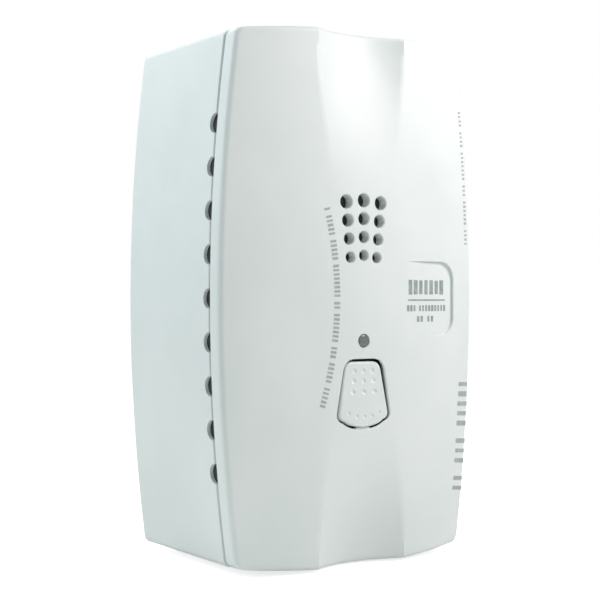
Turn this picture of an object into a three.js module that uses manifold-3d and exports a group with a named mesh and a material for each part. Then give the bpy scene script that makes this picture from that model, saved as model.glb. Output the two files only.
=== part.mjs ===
// Carbon monoxide detector: a wall-mounted, system-powered unit in a deep white case.
//
// A tray (the rear base) is screwed to a single-gang wall box. The circuit board stands on
// four posts in it. A front cover hooks over two bars in the tray's top wall, swings shut
// and carries the light pipe and the test button.
//
// Units are millimetres. The origin is the centre of the back face, +X is to the right as
// seen from the room, +Y points into the wall and +Z is up. "Depth" is the distance from
// the wall towards the room, so y = -depth.

import * as THREE from 'three';
import { mergeVertices } from 'three/addons/utils/BufferGeometryUtils.js';
import Module from 'manifold-3d';

const wasm = await Module();
wasm.setup();

// ---------------------------------------------------------------- driving dimensions

// Case outline, seen from the front.
const WIDTH = 76.8; // widest, half-way up
const HEIGHT = 130.6; // on the centre line
const SIDE_BOW = 4.3; // swell of each side past its ends
const END_CROWN = 2.0; // rise of the top and bottom edges past their ends
const CORNER_RADIUS = 2.0;

// Case depth and walls.
const BASE_DEPTH = 40.5; // wall to the parting line
const COVER_RISE = 9.35; // parting line to the middle of the face
const PARTING_GAP = 0.4;
const WALL = 2.5; // base walls
const COVER_WALL = 2.7;

// Face of the cover: a shallow barrel with a scoop at the top and the bottom.
const FACE_FALL = 4.6; // how far the face falls back at its sides
const FACE_SIDE_RADIUS = 1.2;
const FACE_END_RADIUS = 1.0;
const RIDGE_MIDDLE = 6.2; // half the space between the ridges, half-way up
const RIDGE_END = 13.0; // and at the top and bottom edges
const SCOOP_DEPTH = 5.0; // below the ridges, at the top and bottom edges
const SCOOP_START = 20; // height at which the scoops begin

// Tongue of the cover, inside the base's rim.
const TONGUE_CLEARANCE = 0.35;
const TONGUE_THICKNESS = 1.3;
const TONGUE_DEPTH = 3.0;
const LEDGE_HEIGHT = 1.6; // joins the tongue to the cover's side wall

// Hook hinge at the top.
const HOOK_STATION = 16; // distance of each hook from the centre line
const HOOK_WIDTH = 7;
const BAR_RADIUS = 2.3;
const HOOK_CLEARANCE = 0.3;
const HOOK_THICKNESS = 1.6;
const HOOK_WRAP = THREE.MathUtils.degToRad(48); // how far the hook goes round the bar
const HOOK_ROOT = THREE.MathUtils.degToRad(35); // how far it runs up into the cover
const POCKET_SKIN = 0.8; // wall left outside each hook pocket

// Air vents in the base's rim.
const VENT_COUNT = 9;
const VENT_PITCH = 10.3;
const VENT_RADIUS = 2.4;
const VENT_SKIN = 0.9; // the wall is thinned to this behind each vent
const VENT_RELIEF = 1.2; // how far the thinned part reaches past the vent
const PRY_NOTCH_WIDTH = 9;
const PRY_NOTCH_DEPTH = 1.4;

// Sounder grille in the face.
const GRILLE_BOTTOM = 9.95;
const GRILLE_ROW_PITCH = 4.48;
const GRILLE_ROWS = 4;
const GRILLE_HOLE_BOTTOM = 2.7; // diameter of the holes in the bottom row
const GRILLE_HOLE_TOP = 3.45;
const GRILLE_SPREAD_BOTTOM = 4.0; // centre hole to side hole, bottom row
const GRILLE_SPREAD_TOP = 5.2;
const GRILLE_ARCH = 0.5; // the centre holes sit this much higher

// Status light.
const LIGHT_HEIGHT = -10.4;
const PIPE_DIAMETER = 3.05;
const PIPE_CLEARANCE = 0.15;
const PIPE_FLANGE = 5.4;
const PIPE_FLANGE_THICKNESS = 1.0;
const LED_DIAMETER = 3.0;
const LED_HEIGHT = 4.0;
const LIGHT_GAP = 1.2; // light pipe to light

// Test button: a rounded keystone, hinged along its lower edge.
const BUTTON_TOP = -15.4;
const BUTTON_CORNER_HEIGHT = -29.5;
const BUTTON_BOTTOM = -31.4;
const BUTTON_TOP_WIDTH = 10.4;
const BUTTON_BOTTOM_WIDTH = 15.4;
const BUTTON_CORNER = 1.7;
const BUTTON_GAP = 0.6;
const BUTTON_PROUD = 0.3;
const BUTTON_THICKNESS = 2.6;
const STEM_HEIGHT = -20.4; // where the stem meets the switch
const STEM_DIAMETER = 3.0;
const STEM_GAP = 0.3;

// Label recess in the right-hand panel.
const RECESS_LEFT = 14;
const RECESS_RIGHT = 31;
const RECESS_TOP = 9.3;
const RECESS_BOTTOM = -9.3;
const RECESS_DEPTH = 0.8; // below the face at the right-hand end, nothing at the left
const RECESS_CORNER = 4.5;

// Circuit board.
const BOARD_SET_BACK = 9.5; // parting line to the board's front face
const BOARD_THICKNESS = 1.6;
const BOARD_EDGE_CLEARANCE = 4.0; // to the base's side walls
const BOARD_TOP_CLEARANCE = 4.8; // to the base's top wall
const SOLDER_GAP = 0.1; // under each part on the board
const PART_MARGIN = 1.5; // board edge to the nearest part
const PART_SPACE = 1.4; // between neighbouring parts

// Fasteners.
const GANG_SPACING = 83.3; // screw spacing of a single-gang wall box
const GANG_SLOT_WIDTH = 4.4;
const GANG_SLOT_LENGTH = 9;
const SEAT_PAD_RADIUS = 7.5;
const SEAT_PAD_HEIGHT = 0.8;
const DRIVER_HOLE = 9; // in the board, over the upper wall screw
const BOARD_SCREW = 2.8;
const BOARD_SCREW_HEAD = 5.4;
const BOARD_SCREW_HEAD_HEIGHT = 1.9;
const BOARD_SCREW_LENGTH = 9;
const SCREW_CLEARANCE = 0.2; // round a screw's shank
const POST_DIAMETER = 7;
const SCREW_INSET = 3.6; // board edge to screw

// Opening in the back wall for the wires.
const WIRE_OPENING_WIDTH = 34;
const WIRE_OPENING_TOP = -12;
const WIRE_OPENING_BOTTOM = -34;
const WIRE_OPENING_CORNER = 4;

// Parts on the board: diameters or widths, then heights above the board.
const SENSOR_DIAMETER = 15;
const SENSOR_HEIGHT = 10.5;
const SENSOR_CAP_DIAMETER = 9;
const SENSOR_CAP_HEIGHT = 1.2;
const SOUNDER_DIAMETER = 23.5;
const SOUNDER_HEIGHT = 12;
const SOUNDER_PORT = 3;
const GASKET_BORE = 17;
const GASKET_TO_FACE = 0.4; // free space in front of the gasket
const RELAY_WIDTH = 15.5;
const RELAY_LENGTH = 19;
const RELAY_HEIGHT = 12.5;
const TERMINAL_COUNT = 6;
const TERMINAL_PITCH = 5;
const TERMINAL_DEPTH = 8;
const TERMINAL_HEIGHT = 10;
const TERMINAL_SCREW = 3.6;
const TERMINAL_WELL = 4.2;
const WIRE_HOLE = 3;
const BIG_CAPACITOR = 10;
const BIG_CAPACITOR_HEIGHT = 12.5;
const SMALL_CAPACITOR = 8;
const SMALL_CAPACITOR_HEIGHT = 11;
const REGULATOR_WIDTH = 10;
const REGULATOR_DEPTH = 4.4;
const REGULATOR_HEIGHT = 8.5;
const REGULATOR_TAB = 1.3;
const REGULATOR_TAB_HEIGHT = 12;
const SINK_WIDTH = 13;
const SINK_DEPTH = 4.6;
const SINK_HEIGHT = 11.5;
const SINK_PLATE = 1.4;
const SINK_FINS = 5;
const SINK_FIN = 1.0;
const CHIP_SIZE = 7;
const CHIP_HEIGHT = 1.4;
const CRYSTAL_LENGTH = 11;
const CRYSTAL_WIDTH = 4.6;
const CRYSTAL_HEIGHT = 3.6;
const SWITCH_SIZE = 6;
const SWITCH_HEIGHT = 3.5;
const PLUNGER_DIAMETER = 3.4;
const PLUNGER_HEIGHT = 1.6; // above the switch body
const PLUNGER_CLEARANCE = 0.2;
const PLUNGER_SINK = 1.2; // length of plunger inside the switch body at rest
const PLUNGER_TRAVEL = 0.8;

// ---------------------------------------------------------------- worked-out places

const HALF_WIDTH = WIDTH / 2;
const HALF_HEIGHT = HEIGHT / 2;
const END_HALF_WIDTH = HALF_WIDTH - SIDE_BOW;
const END_HALF_HEIGHT = HALF_HEIGHT - END_CROWN;
const SIDE_ARC = (END_HALF_HEIGHT ** 2 + SIDE_BOW ** 2) / (2 * SIDE_BOW);
const END_ARC = (END_HALF_WIDTH ** 2 + END_CROWN ** 2) / (2 * END_CROWN);
const FACE_DEPTH = BASE_DEPTH + COVER_RISE;
const COVER_START = BASE_DEPTH + PARTING_GAP;
const TONGUE_OUTSIDE = WALL + TONGUE_CLEARANCE;
const TONGUE_INSIDE = TONGUE_OUTSIDE + TONGUE_THICKNESS;

const BOARD_FRONT = BASE_DEPTH - BOARD_SET_BACK;
const BOARD_BACK = BOARD_FRONT - BOARD_THICKNESS;
const BOARD_HALF_WIDTH = END_HALF_WIDTH - WALL - BOARD_EDGE_CLEARANCE;
const BOARD_TOP = END_HALF_HEIGHT - WALL - BOARD_TOP_CLEARANCE;
const BOARD_BOTTOM = -GANG_SPACING / 2 + SEAT_PAD_RADIUS - 2;
const UPPER_SCREW_X = BOARD_HALF_WIDTH - SCREW_INSET;
// The lower screws stand half-way between the ends of the terminal block and the board's edges.
const TERMINAL_HALF_WIDTH = TERMINAL_COUNT * TERMINAL_PITCH / 2;
const LOWER_SCREW_X = (TERMINAL_HALF_WIDTH + BOARD_HALF_WIDTH) / 2;
const BOARD_SCREWS = [
  [-UPPER_SCREW_X, BOARD_TOP - SCREW_INSET],
  [UPPER_SCREW_X, BOARD_TOP - SCREW_INSET],
  [-LOWER_SCREW_X, BOARD_BOTTOM + SCREW_INSET],
  [LOWER_SCREW_X, BOARD_BOTTOM + SCREW_INSET],
];
const PART_EDGE = BOARD_HALF_WIDTH - PART_MARGIN;
const SOUNDER_Z = GRILLE_BOTTOM + (GRILLE_ROWS - 1) * GRILLE_ROW_PITCH / 2;
const SOUNDER_BOTTOM = SOUNDER_Z - SOUNDER_DIAMETER / 2;
const TOP_ROW = BOARD_TOP - 2 * SCREW_INSET - PART_SPACE;
const SENSOR_X = -PART_EDGE + SENSOR_DIAMETER / 2;
const SENSOR_Z = TOP_ROW - SENSOR_DIAMETER / 2;
const BIG_CAPACITOR_Z = TOP_ROW - BIG_CAPACITOR / 2;
const SMALL_CAPACITOR_Z = BIG_CAPACITOR_Z - (BIG_CAPACITOR + SMALL_CAPACITOR) / 2 - PART_SPACE;
const TERMINAL_TOP = BOARD_BOTTOM + TERMINAL_DEPTH;
const RELAY_Z = TERMINAL_TOP + PART_SPACE + RELAY_LENGTH / 2;
const RELAY_X = PART_EDGE - RELAY_WIDTH / 2;
const RELAY_TOP = RELAY_Z + RELAY_LENGTH / 2;
const REGULATOR_Z = RELAY_TOP + PART_SPACE + REGULATOR_DEPTH / 2;
const SINK_Z = REGULATOR_Z + REGULATOR_DEPTH / 2 + SOLDER_GAP;

// ---------------------------------------------------------------- shapes and solids

// A closed three.js geometry as a manifold solid.
function solid(geometry) {
  const bare = geometry.clone();
  bare.deleteAttribute('normal');
  bare.deleteAttribute('uv');
  const merged = mergeVertices(bare);
  const mesh = new wasm.Mesh({
    numProp: 3,
    vertProperties: new Float32Array(merged.attributes.position.array),
    triVerts: new Uint32Array(merged.index.array),
  });
  return new wasm.Manifold(mesh);
}

function join(first, ...others) {
  return others.reduce((sum, next) => sum.add(next), first);
}

function cut(first, ...others) {
  return others.reduce((rest, next) => rest.subtract(next), first);
}

// A manifold solid as a three.js geometry.
function geometryOf(body) {
  const mesh = body.getMesh();
  const geometry = new THREE.BufferGeometry();
  geometry.setAttribute('position', new THREE.BufferAttribute(mesh.vertProperties, 3));
  geometry.setIndex(new THREE.BufferAttribute(mesh.triVerts, 1));
  geometry.computeVertexNormals();
  return geometry;
}

// A flat outline, drawn in x and z as seen from the front, filled from one depth to another.
function prism(shape, fromDepth, toDepth) {
  const geometry = new THREE.ExtrudeGeometry(shape, {
    depth: toDepth - fromDepth,
    bevelEnabled: false,
    steps: 1,
  });
  geometry.translate(0, 0, fromDepth);
  geometry.rotateX(Math.PI / 2);
  return solid(geometry);
}

// A round bar along the depth, which may taper.
function rod(x, z, fromDepth, toDepth, backRadius, frontRadius = backRadius, sides = 20) {
  const geometry = new THREE.CylinderGeometry(backRadius, frontRadius, toDepth - fromDepth, sides);
  geometry.translate(x, -(fromDepth + toDepth) / 2, z);
  return solid(geometry);
}

// A round bar across the case, along x.
function crossRod(fromX, toX, depth, z, radius, sides = 24) {
  const geometry = new THREE.CylinderGeometry(radius, radius, toX - fromX, sides);
  geometry.rotateZ(Math.PI / 2);
  geometry.translate((fromX + toX) / 2, -depth, z);
  return solid(geometry);
}

// A rectangular block.
function block(fromX, toX, fromZ, toZ, fromDepth, toDepth) {
  const geometry = new THREE.BoxGeometry(toX - fromX, toDepth - fromDepth, toZ - fromZ);
  geometry.translate((fromX + toX) / 2, -(fromDepth + toDepth) / 2, (fromZ + toZ) / 2);
  return solid(geometry);
}

// A turned piece about an axis along the depth. The profile is a list of [radius, depth].
function turned(profile, sides = 28) {
  const points = profile.map(([radius, depth]) => new THREE.Vector2(radius, depth));
  const geometry = new THREE.LatheGeometry(points, sides);
  geometry.rotateX(Math.PI);
  return solid(geometry);
}

// Points along an arc, without its last point.
function arc(x, z, radius, from, to, steps) {
  const points = [];
  for (let i = 0; i < steps; i += 1) {
    const angle = from + (to - from) * i / steps;
    points.push(new THREE.Vector2(x + radius * Math.cos(angle), z + radius * Math.sin(angle)));
  }
  return points;
}

// A rectangle with round corners, centred on x and z.
function roundedRectangle(x, z, width, height, radius, steps = 4) {
  const right = x + width / 2 - radius;
  const left = x - width / 2 + radius;
  const top = z + height / 2 - radius;
  const bottom = z - height / 2 + radius;
  const quarter = Math.PI / 2;
  return new THREE.Shape([
    ...arc(right, bottom, radius, -quarter, 0, steps),
    new THREE.Vector2(right + radius, bottom),
    ...arc(right, top, radius, 0, quarter, steps),
    new THREE.Vector2(right, top + radius),
    ...arc(left, top, radius, quarter, 2 * quarter, steps),
    new THREE.Vector2(left - radius, top),
    ...arc(left, bottom, radius, 2 * quarter, 3 * quarter, steps),
    new THREE.Vector2(left, bottom - radius),
  ]);
}

// The case's outline, moved inwards by an inset: bowed sides, crowned ends, round corners.
function caseOutline(inset) {
  const corner = Math.max(CORNER_RADIUS - inset, CORNER_RADIUS / 2);
  const sideRadius = SIDE_ARC - inset;
  const endRadius = END_ARC - inset;
  const sideX = HALF_WIDTH - SIDE_ARC;
  const endZ = HALF_HEIGHT - END_ARC;
  // The corner arc touches the side arc and the end arc from inside.
  const toSide = sideRadius - corner;
  const toEnd = endRadius - corner;
  const apart = Math.hypot(sideX, endZ);
  const along = (toSide ** 2 - toEnd ** 2 + apart ** 2) / (2 * apart);
  const off = Math.sqrt(toSide ** 2 - along ** 2);
  const ux = -sideX / apart;
  const uz = endZ / apart;
  const cornerX = sideX + ux * along - uz * off;
  const cornerZ = uz * along + ux * off;
  const a = Math.atan2(cornerZ, cornerX - sideX);
  const b = Math.atan2(cornerZ - endZ, cornerX);
  const sideSteps = 14;
  const endSteps = 8;
  const cornerSteps = 4;
  return new THREE.Shape([
    ...arc(sideX, 0, sideRadius, -a, a, sideSteps),
    ...arc(cornerX, cornerZ, corner, a, b, cornerSteps),
    ...arc(0, endZ, endRadius, b, Math.PI - b, endSteps),
    ...arc(-cornerX, cornerZ, corner, Math.PI - b, Math.PI - a, cornerSteps),
    ...arc(-sideX, 0, sideRadius, Math.PI - a, Math.PI + a, sideSteps),
    ...arc(-cornerX, -cornerZ, corner, Math.PI + a, Math.PI + b, cornerSteps),
    ...arc(0, -endZ, endRadius, Math.PI + b, 2 * Math.PI - b, endSteps),
    ...arc(cornerX, -cornerZ, corner, 2 * Math.PI - b, 2 * Math.PI - a, cornerSteps),
  ]);
}

// A hollow wall that follows the case's outline between two insets.
function outlineRing(outerInset, innerInset, fromDepth, toDepth) {
  return prism(caseOutline(outerInset), fromDepth, toDepth)
    .subtract(prism(caseOutline(innerInset), fromDepth - 1, toDepth + 1));
}

// ---------------------------------------------------------------- the moulded face

function halfWidthAt(z) {
  return HALF_WIDTH - SIDE_BOW * (z / END_HALF_HEIGHT) ** 2;
}

// Half the space between the two ridges: an hourglass.
function ridgeAt(z) {
  const middle = (RIDGE_MIDDLE + RIDGE_END) / 2;
  const swing = (RIDGE_END - RIDGE_MIDDLE) / 2;
  const turn = Math.min(Math.abs(z) / HALF_HEIGHT, 1) * Math.PI;
  return middle - swing * Math.cos(turn);
}

function faceDepthAt(x, z) {
  const barrel = FACE_DEPTH - FACE_FALL * (x / halfWidthAt(z)) ** 2;
  const past = Math.max(0, (Math.abs(z) - SCOOP_START) / (HALF_HEIGHT - SCOOP_START));
  const hollow = Math.max(0, 1 - (x / ridgeAt(z)) ** 2);
  return barrel - SCOOP_DEPTH * past ** 2 * hollow;
}

// How far a rounded edge falls back at a distance inside the outline.
function edgeFall(inside, radius) {
  if (inside >= radius) return 0;
  if (inside <= 0) return radius;
  return radius - Math.sqrt(radius ** 2 - (radius - inside) ** 2);
}

// Positive steps from the centre line to past the edge, mirrored to the other side.
function mirrored(steps) {
  return [...steps.slice(1).reverse().map((step) => -step), ...steps];
}

// A slab with a flat back and the moulded face in front, sunk by "under". It runs past the
// outline, which is cut afterwards.
function faceSlab(backDepth, under, rounded, scoopSteps, panelSteps, rowSteps) {
  const overhang = 1.5;
  const rounding = rounded ? [0.5, 0.15, 0] : [];
  const rows = [0, SCOOP_START / 2];
  const lastRow = HALF_HEIGHT - FACE_END_RADIUS;
  for (let i = 0; i <= rowSteps; i += 1) {
    rows.push(SCOOP_START + (lastRow - SCOOP_START) * i / rowSteps);
  }
  rounding.forEach((share) => rows.push(HALF_HEIGHT - share * FACE_END_RADIUS));
  rows.push(HALF_HEIGHT + overhang);
  const heights = mirrored(rows);

  const front = heights.map((nominal) => {
    const ridge = ridgeAt(nominal);
    const edge = halfWidthAt(nominal);
    const panelEnd = edge - FACE_SIDE_RADIUS;
    const columns = [0];
    for (let i = 1; i <= scoopSteps; i += 1) columns.push(ridge * i / scoopSteps);
    for (let i = 1; i <= panelSteps; i += 1) {
      columns.push(ridge + (panelEnd - ridge) * i / panelSteps);
    }
    rounding.forEach((share) => columns.push(edge - share * FACE_SIDE_RADIUS));
    columns.push(edge + overhang);
    return mirrored(columns).map((x) => {
      const crown = 1 - END_CROWN * (x / END_HALF_WIDTH) ** 2 / HALF_HEIGHT;
      const fallSide = edgeFall(edge - Math.abs(x), FACE_SIDE_RADIUS);
      const fallEnd = edgeFall(HALF_HEIGHT - Math.abs(nominal), FACE_END_RADIUS);
      const fall = rounded ? Math.hypot(fallSide, fallEnd) : 0;
      const z = nominal * crown;
      return [x, -(faceDepthAt(x, z) - under - fall), z];
    });
  });

  const columns = front[0].length;
  const count = front.length * columns;
  const positions = front.flat(2);
  front.flat().forEach(([x, , z]) => positions.push(x, -backDepth, z));
  const index = [];
  const quad = (a, b, c, d) => index.push(a, b, c, a, c, d);
  for (let j = 0; j + 1 < front.length; j += 1) {
    for (let i = 0; i + 1 < columns; i += 1) {
      const a = j * columns + i;
      quad(a, a + 1, a + 1 + columns, a + columns);
      quad(count + a, count + a + columns, count + a + 1 + columns, count + a + 1);
    }
  }
  const top = (front.length - 1) * columns;
  for (let i = 0; i + 1 < columns; i += 1) {
    quad(i, count + i, count + i + 1, i + 1);
    quad(top + i, top + i + 1, count + top + i + 1, count + top + i);
  }
  for (let j = 0; j + 1 < front.length; j += 1) {
    const left = j * columns;
    const right = left + columns - 1;
    quad(left, left + columns, count + left + columns, count + left);
    quad(right, count + right, count + right + columns, right + columns);
  }
  const geometry = new THREE.BufferGeometry();
  geometry.setAttribute('position', new THREE.Float32BufferAttribute(positions, 3));
  geometry.setIndex(index);
  return solid(geometry);
}

// ---------------------------------------------------------------- the hook hinge

// A sector of a ring round the hinge axis, from below the axis towards the wall. Angles are
// measured from straight down; positive angles lean towards the wall.
function hingeSector(innerRadius, outerRadius, fromAngle, toAngle, fromX, toX) {
  const steps = 10;
  const at = (radius, angle) => new THREE.Vector2(
    radius * Math.sin(angle) - BASE_DEPTH,
    HALF_HEIGHT - radius * Math.cos(angle),
  );
  const points = [];
  for (let i = 0; i <= steps; i += 1) {
    points.push(at(outerRadius, fromAngle + (toAngle - fromAngle) * i / steps));
  }
  for (let i = steps; i >= 0; i -= 1) {
    points.push(at(innerRadius, fromAngle + (toAngle - fromAngle) * i / steps));
  }
  const geometry = new THREE.ExtrudeGeometry(new THREE.Shape(points), {
    depth: toX - fromX,
    bevelEnabled: false,
    steps: 1,
  });
  geometry.translate(0, 0, fromX);
  // Shape x becomes y, shape y becomes z, and the extrusion runs along x.
  geometry.applyMatrix4(new THREE.Matrix4().set(
    0, 0, 1, 0,
    1, 0, 0, 0,
    0, 1, 0, 0,
    0, 0, 0, 1,
  ));
  return solid(geometry);
}

function hookStations() {
  return [-HOOK_STATION, HOOK_STATION];
}

// ---------------------------------------------------------------- the rear base

function ventHeights() {
  return Array.from({ length: VENT_COUNT }, (_, i) => (i - (VENT_COUNT - 1) / 2) * VENT_PITCH);
}

function gangSlot(z) {
  return roundedRectangle(0, z, GANG_SLOT_LENGTH, GANG_SLOT_WIDTH, GANG_SLOT_WIDTH / 2 - 0.01, 5);
}

function rearBase() {
  let body = cut(
    prism(caseOutline(0), 0, BASE_DEPTH),
    prism(caseOutline(WALL), WALL, BASE_DEPTH + 1),
  );
  for (const [x, z] of BOARD_SCREWS) {
    body = body.add(rod(x, z, WALL / 2, BOARD_BACK, POST_DIAMETER / 2 + 0.5, POST_DIAMETER / 2));
    const pilot = BOARD_SCREW / 2 + SCREW_CLEARANCE;
    body = body.subtract(rod(x, z, BOARD_BACK - BOARD_SCREW_LENGTH, BOARD_BACK + 1, pilot));
  }
  for (const z of [-GANG_SPACING / 2, GANG_SPACING / 2]) {
    body = body.add(rod(0, z, WALL / 2, WALL + SEAT_PAD_HEIGHT, SEAT_PAD_RADIUS, SEAT_PAD_RADIUS, 28));
    body = body.subtract(prism(gangSlot(z), -1, WALL + SEAT_PAD_HEIGHT + 1));
  }
  const wireHeight = WIRE_OPENING_TOP - WIRE_OPENING_BOTTOM;
  const wireMiddle = (WIRE_OPENING_TOP + WIRE_OPENING_BOTTOM) / 2;
  const wireShape = roundedRectangle(
    0, wireMiddle, WIRE_OPENING_WIDTH, wireHeight, WIRE_OPENING_CORNER,
  );
  body = body.subtract(prism(wireShape, -1, WALL + 1));
  const ventSkin = prism(caseOutline(VENT_SKIN), WALL, BASE_DEPTH + 1);
  for (const z of ventHeights()) {
    body = body.subtract(crossRod(END_HALF_WIDTH - 2 * WALL, HALF_WIDTH + 1, BASE_DEPTH, z, VENT_RADIUS));
    body = body.subtract(crossRod(-HALF_WIDTH - 1, 2 * WALL - END_HALF_WIDTH, BASE_DEPTH, z, VENT_RADIUS));
    const relief = crossRod(-HALF_WIDTH, HALF_WIDTH, BASE_DEPTH, z, VENT_RADIUS + VENT_RELIEF);
    body = body.subtract(relief.intersect(ventSkin));
  }
  body = body.subtract(block(
    -PRY_NOTCH_WIDTH / 2, PRY_NOTCH_WIDTH / 2,
    -HALF_HEIGHT - 1, -HALF_HEIGHT + 2 * WALL,
    BASE_DEPTH - PRY_NOTCH_DEPTH, BASE_DEPTH + 1,
  ));
  // Hook pockets: what is left inside the small radius is the bar that the hook goes round.
  const reach = BAR_RADIUS + HOOK_THICKNESS + 2 * HOOK_CLEARANCE;
  const skin = prism(caseOutline(POCKET_SKIN), WALL, BASE_DEPTH + 1);
  for (const x of hookStations()) {
    const half = HOOK_WIDTH / 2 + HOOK_CLEARANCE;
    const pocket = hingeSector(BAR_RADIUS, reach, -HOOK_ROOT, Math.PI / 2, x - half, x + half);
    body = body.subtract(pocket.intersect(skin));
  }
  return body;
}

// ---------------------------------------------------------------- the front cover

// The button's outline: straight flanks, round corners and a bowed lower edge.
function buttonOutline(grow) {
  const top = BUTTON_TOP + grow;
  const bottom = BUTTON_BOTTOM - grow;
  const corners = BUTTON_CORNER_HEIGHT - grow;
  const topHalf = BUTTON_TOP_WIDTH / 2 + grow;
  const bottomHalf = BUTTON_BOTTOM_WIDTH / 2 + grow;
  const shape = new THREE.Shape();
  const lean = (bottomHalf - topHalf) / (top - corners);
  shape.moveTo(-topHalf + BUTTON_CORNER, top);
  shape.quadraticCurveTo(-topHalf, top, -topHalf - lean * BUTTON_CORNER, top - BUTTON_CORNER);
  shape.lineTo(-bottomHalf + lean * BUTTON_CORNER, corners + BUTTON_CORNER);
  shape.quadraticCurveTo(-bottomHalf, corners, -bottomHalf + BUTTON_CORNER, corners - 0.3);
  shape.quadraticCurveTo(0, 2 * bottom - corners + 0.3, bottomHalf - BUTTON_CORNER, corners - 0.3);
  shape.quadraticCurveTo(bottomHalf, corners, bottomHalf - lean * BUTTON_CORNER, corners + BUTTON_CORNER);
  shape.lineTo(topHalf + lean * BUTTON_CORNER, top - BUTTON_CORNER);
  shape.quadraticCurveTo(topHalf, top, topHalf - BUTTON_CORNER, top);
  const points = shape.getPoints(5);
  if (points[0].distanceTo(points.at(-1)) < 1e-6) points.pop();
  return new THREE.Shape(points);
}

function grilleHoles() {
  const holes = [];
  for (let row = 0; row < GRILLE_ROWS; row += 1) {
    const share = row / (GRILLE_ROWS - 1);
    const radius = THREE.MathUtils.lerp(GRILLE_HOLE_BOTTOM, GRILLE_HOLE_TOP, share) / 2;
    const spread = THREE.MathUtils.lerp(GRILLE_SPREAD_BOTTOM, GRILLE_SPREAD_TOP, share);
    const z = GRILLE_BOTTOM + row * GRILLE_ROW_PITCH;
    for (const side of [-1, 0, 1]) {
      holes.push([side * spread, side === 0 ? z + GRILLE_ARCH : z, radius]);
    }
  }
  return holes;
}

// The recess is a flat-bottomed cut that is flush with the face at its left-hand end.
function labelRecess() {
  const middle = (RECESS_TOP + RECESS_BOTTOM) / 2;
  const startDepth = faceDepthAt(RECESS_LEFT, middle);
  const endDepth = faceDepthAt(RECESS_RIGHT, middle) - RECESS_DEPTH;
  const run = Math.hypot(RECESS_RIGHT - RECESS_LEFT, startDepth - endDepth);
  const shape = roundedRectangle(0, 0, 2 * run, RECESS_TOP - RECESS_BOTTOM, RECESS_CORNER, 5);
  const geometry = new THREE.ExtrudeGeometry(shape, {
    depth: 2 * COVER_RISE,
    bevelEnabled: false,
    steps: 1,
  });
  geometry.rotateX(Math.PI / 2);
  geometry.rotateZ(Math.atan2(startDepth - endDepth, RECESS_RIGHT - RECESS_LEFT));
  geometry.translate(RECESS_LEFT, -startDepth, middle);
  const keep = block(
    RECESS_LEFT - 2, RECESS_RIGHT + 4, RECESS_BOTTOM - 1, RECESS_TOP + 1, 0, 2 * FACE_DEPTH,
  );
  return solid(geometry).intersect(keep);
}

function frontCover() {
  const outside = faceSlab(COVER_START, 0, true, 4, 3, 6)
    .intersect(prism(caseOutline(0), COVER_START - 1, FACE_DEPTH + 1));
  const hollow = faceSlab(COVER_START - 2, COVER_WALL, false, 2, 3, 4)
    .intersect(prism(caseOutline(COVER_WALL), COVER_START - 1, FACE_DEPTH + 1));
  let body = outside.subtract(hollow);

  // Tongue, open at each vent and at the hooks, and the ledge that carries it.
  let tongue = outlineRing(
    TONGUE_OUTSIDE, TONGUE_INSIDE, BASE_DEPTH - TONGUE_DEPTH, COVER_START + LEDGE_HEIGHT,
  );
  const ventOpening = VENT_RADIUS + TONGUE_CLEARANCE;
  for (const z of ventHeights()) {
    tongue = tongue.subtract(block(
      -HALF_WIDTH, HALF_WIDTH, z - ventOpening, z + ventOpening,
      BASE_DEPTH - TONGUE_DEPTH - 1, COVER_START + PARTING_GAP,
    ));
  }
  const inner = BAR_RADIUS + HOOK_CLEARANCE;
  const outer = inner + HOOK_THICKNESS;
  for (const x of hookStations()) {
    const half = HOOK_WIDTH / 2 + 2 * HOOK_CLEARANCE;
    tongue = tongue.subtract(block(
      x - half, x + half, 0, HALF_HEIGHT, BASE_DEPTH - TONGUE_DEPTH - 1, COVER_START + 0.1,
    ));
  }
  const ledge = outlineRing(COVER_WALL / 2, TONGUE_INSIDE, COVER_START, COVER_START + LEDGE_HEIGHT);
  body = join(body, tongue, ledge);
  const crest = prism(caseOutline(COVER_WALL / 2), 0, FACE_DEPTH);
  for (const x of hookStations()) {
    const fromX = x - HOOK_WIDTH / 2;
    const toX = x + HOOK_WIDTH / 2;
    const hook = hingeSector(inner, outer, -HOOK_ROOT, HOOK_WRAP, fromX, toX);
    body = body.add(hook.intersect(crest));
  }

  // Openings in the face.
  const through = COVER_START + LEDGE_HEIGHT / 2;
  for (const [x, z, radius] of grilleHoles()) {
    body = body.subtract(rod(x, z, through, FACE_DEPTH + 1, radius, radius, 12));
  }
  // A sleeve behind the face holds the light pipe.
  const sleeveRadius = PIPE_FLANGE / 2 + 1;
  const faceInside = faceDepthAt(0, LIGHT_HEIGHT) - COVER_WALL;
  body = body.add(rod(0, LIGHT_HEIGHT, faceInside - 2.5, faceInside + COVER_WALL / 2, sleeveRadius));
  const flangeHole = PIPE_FLANGE / 2 + PIPE_CLEARANCE;
  body = body.subtract(rod(0, LIGHT_HEIGHT, faceInside - 3, faceInside + PIPE_CLEARANCE, flangeHole));
  const pipeHole = PIPE_DIAMETER / 2 + PIPE_CLEARANCE;
  body = body.subtract(rod(0, LIGHT_HEIGHT, faceInside - 3, FACE_DEPTH + 1, pipeHole));
  body = body.subtract(prism(buttonOutline(BUTTON_GAP), through, FACE_DEPTH + 1));
  return body.subtract(labelRecess());
}

// ---------------------------------------------------------------- light pipe and button

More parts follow.
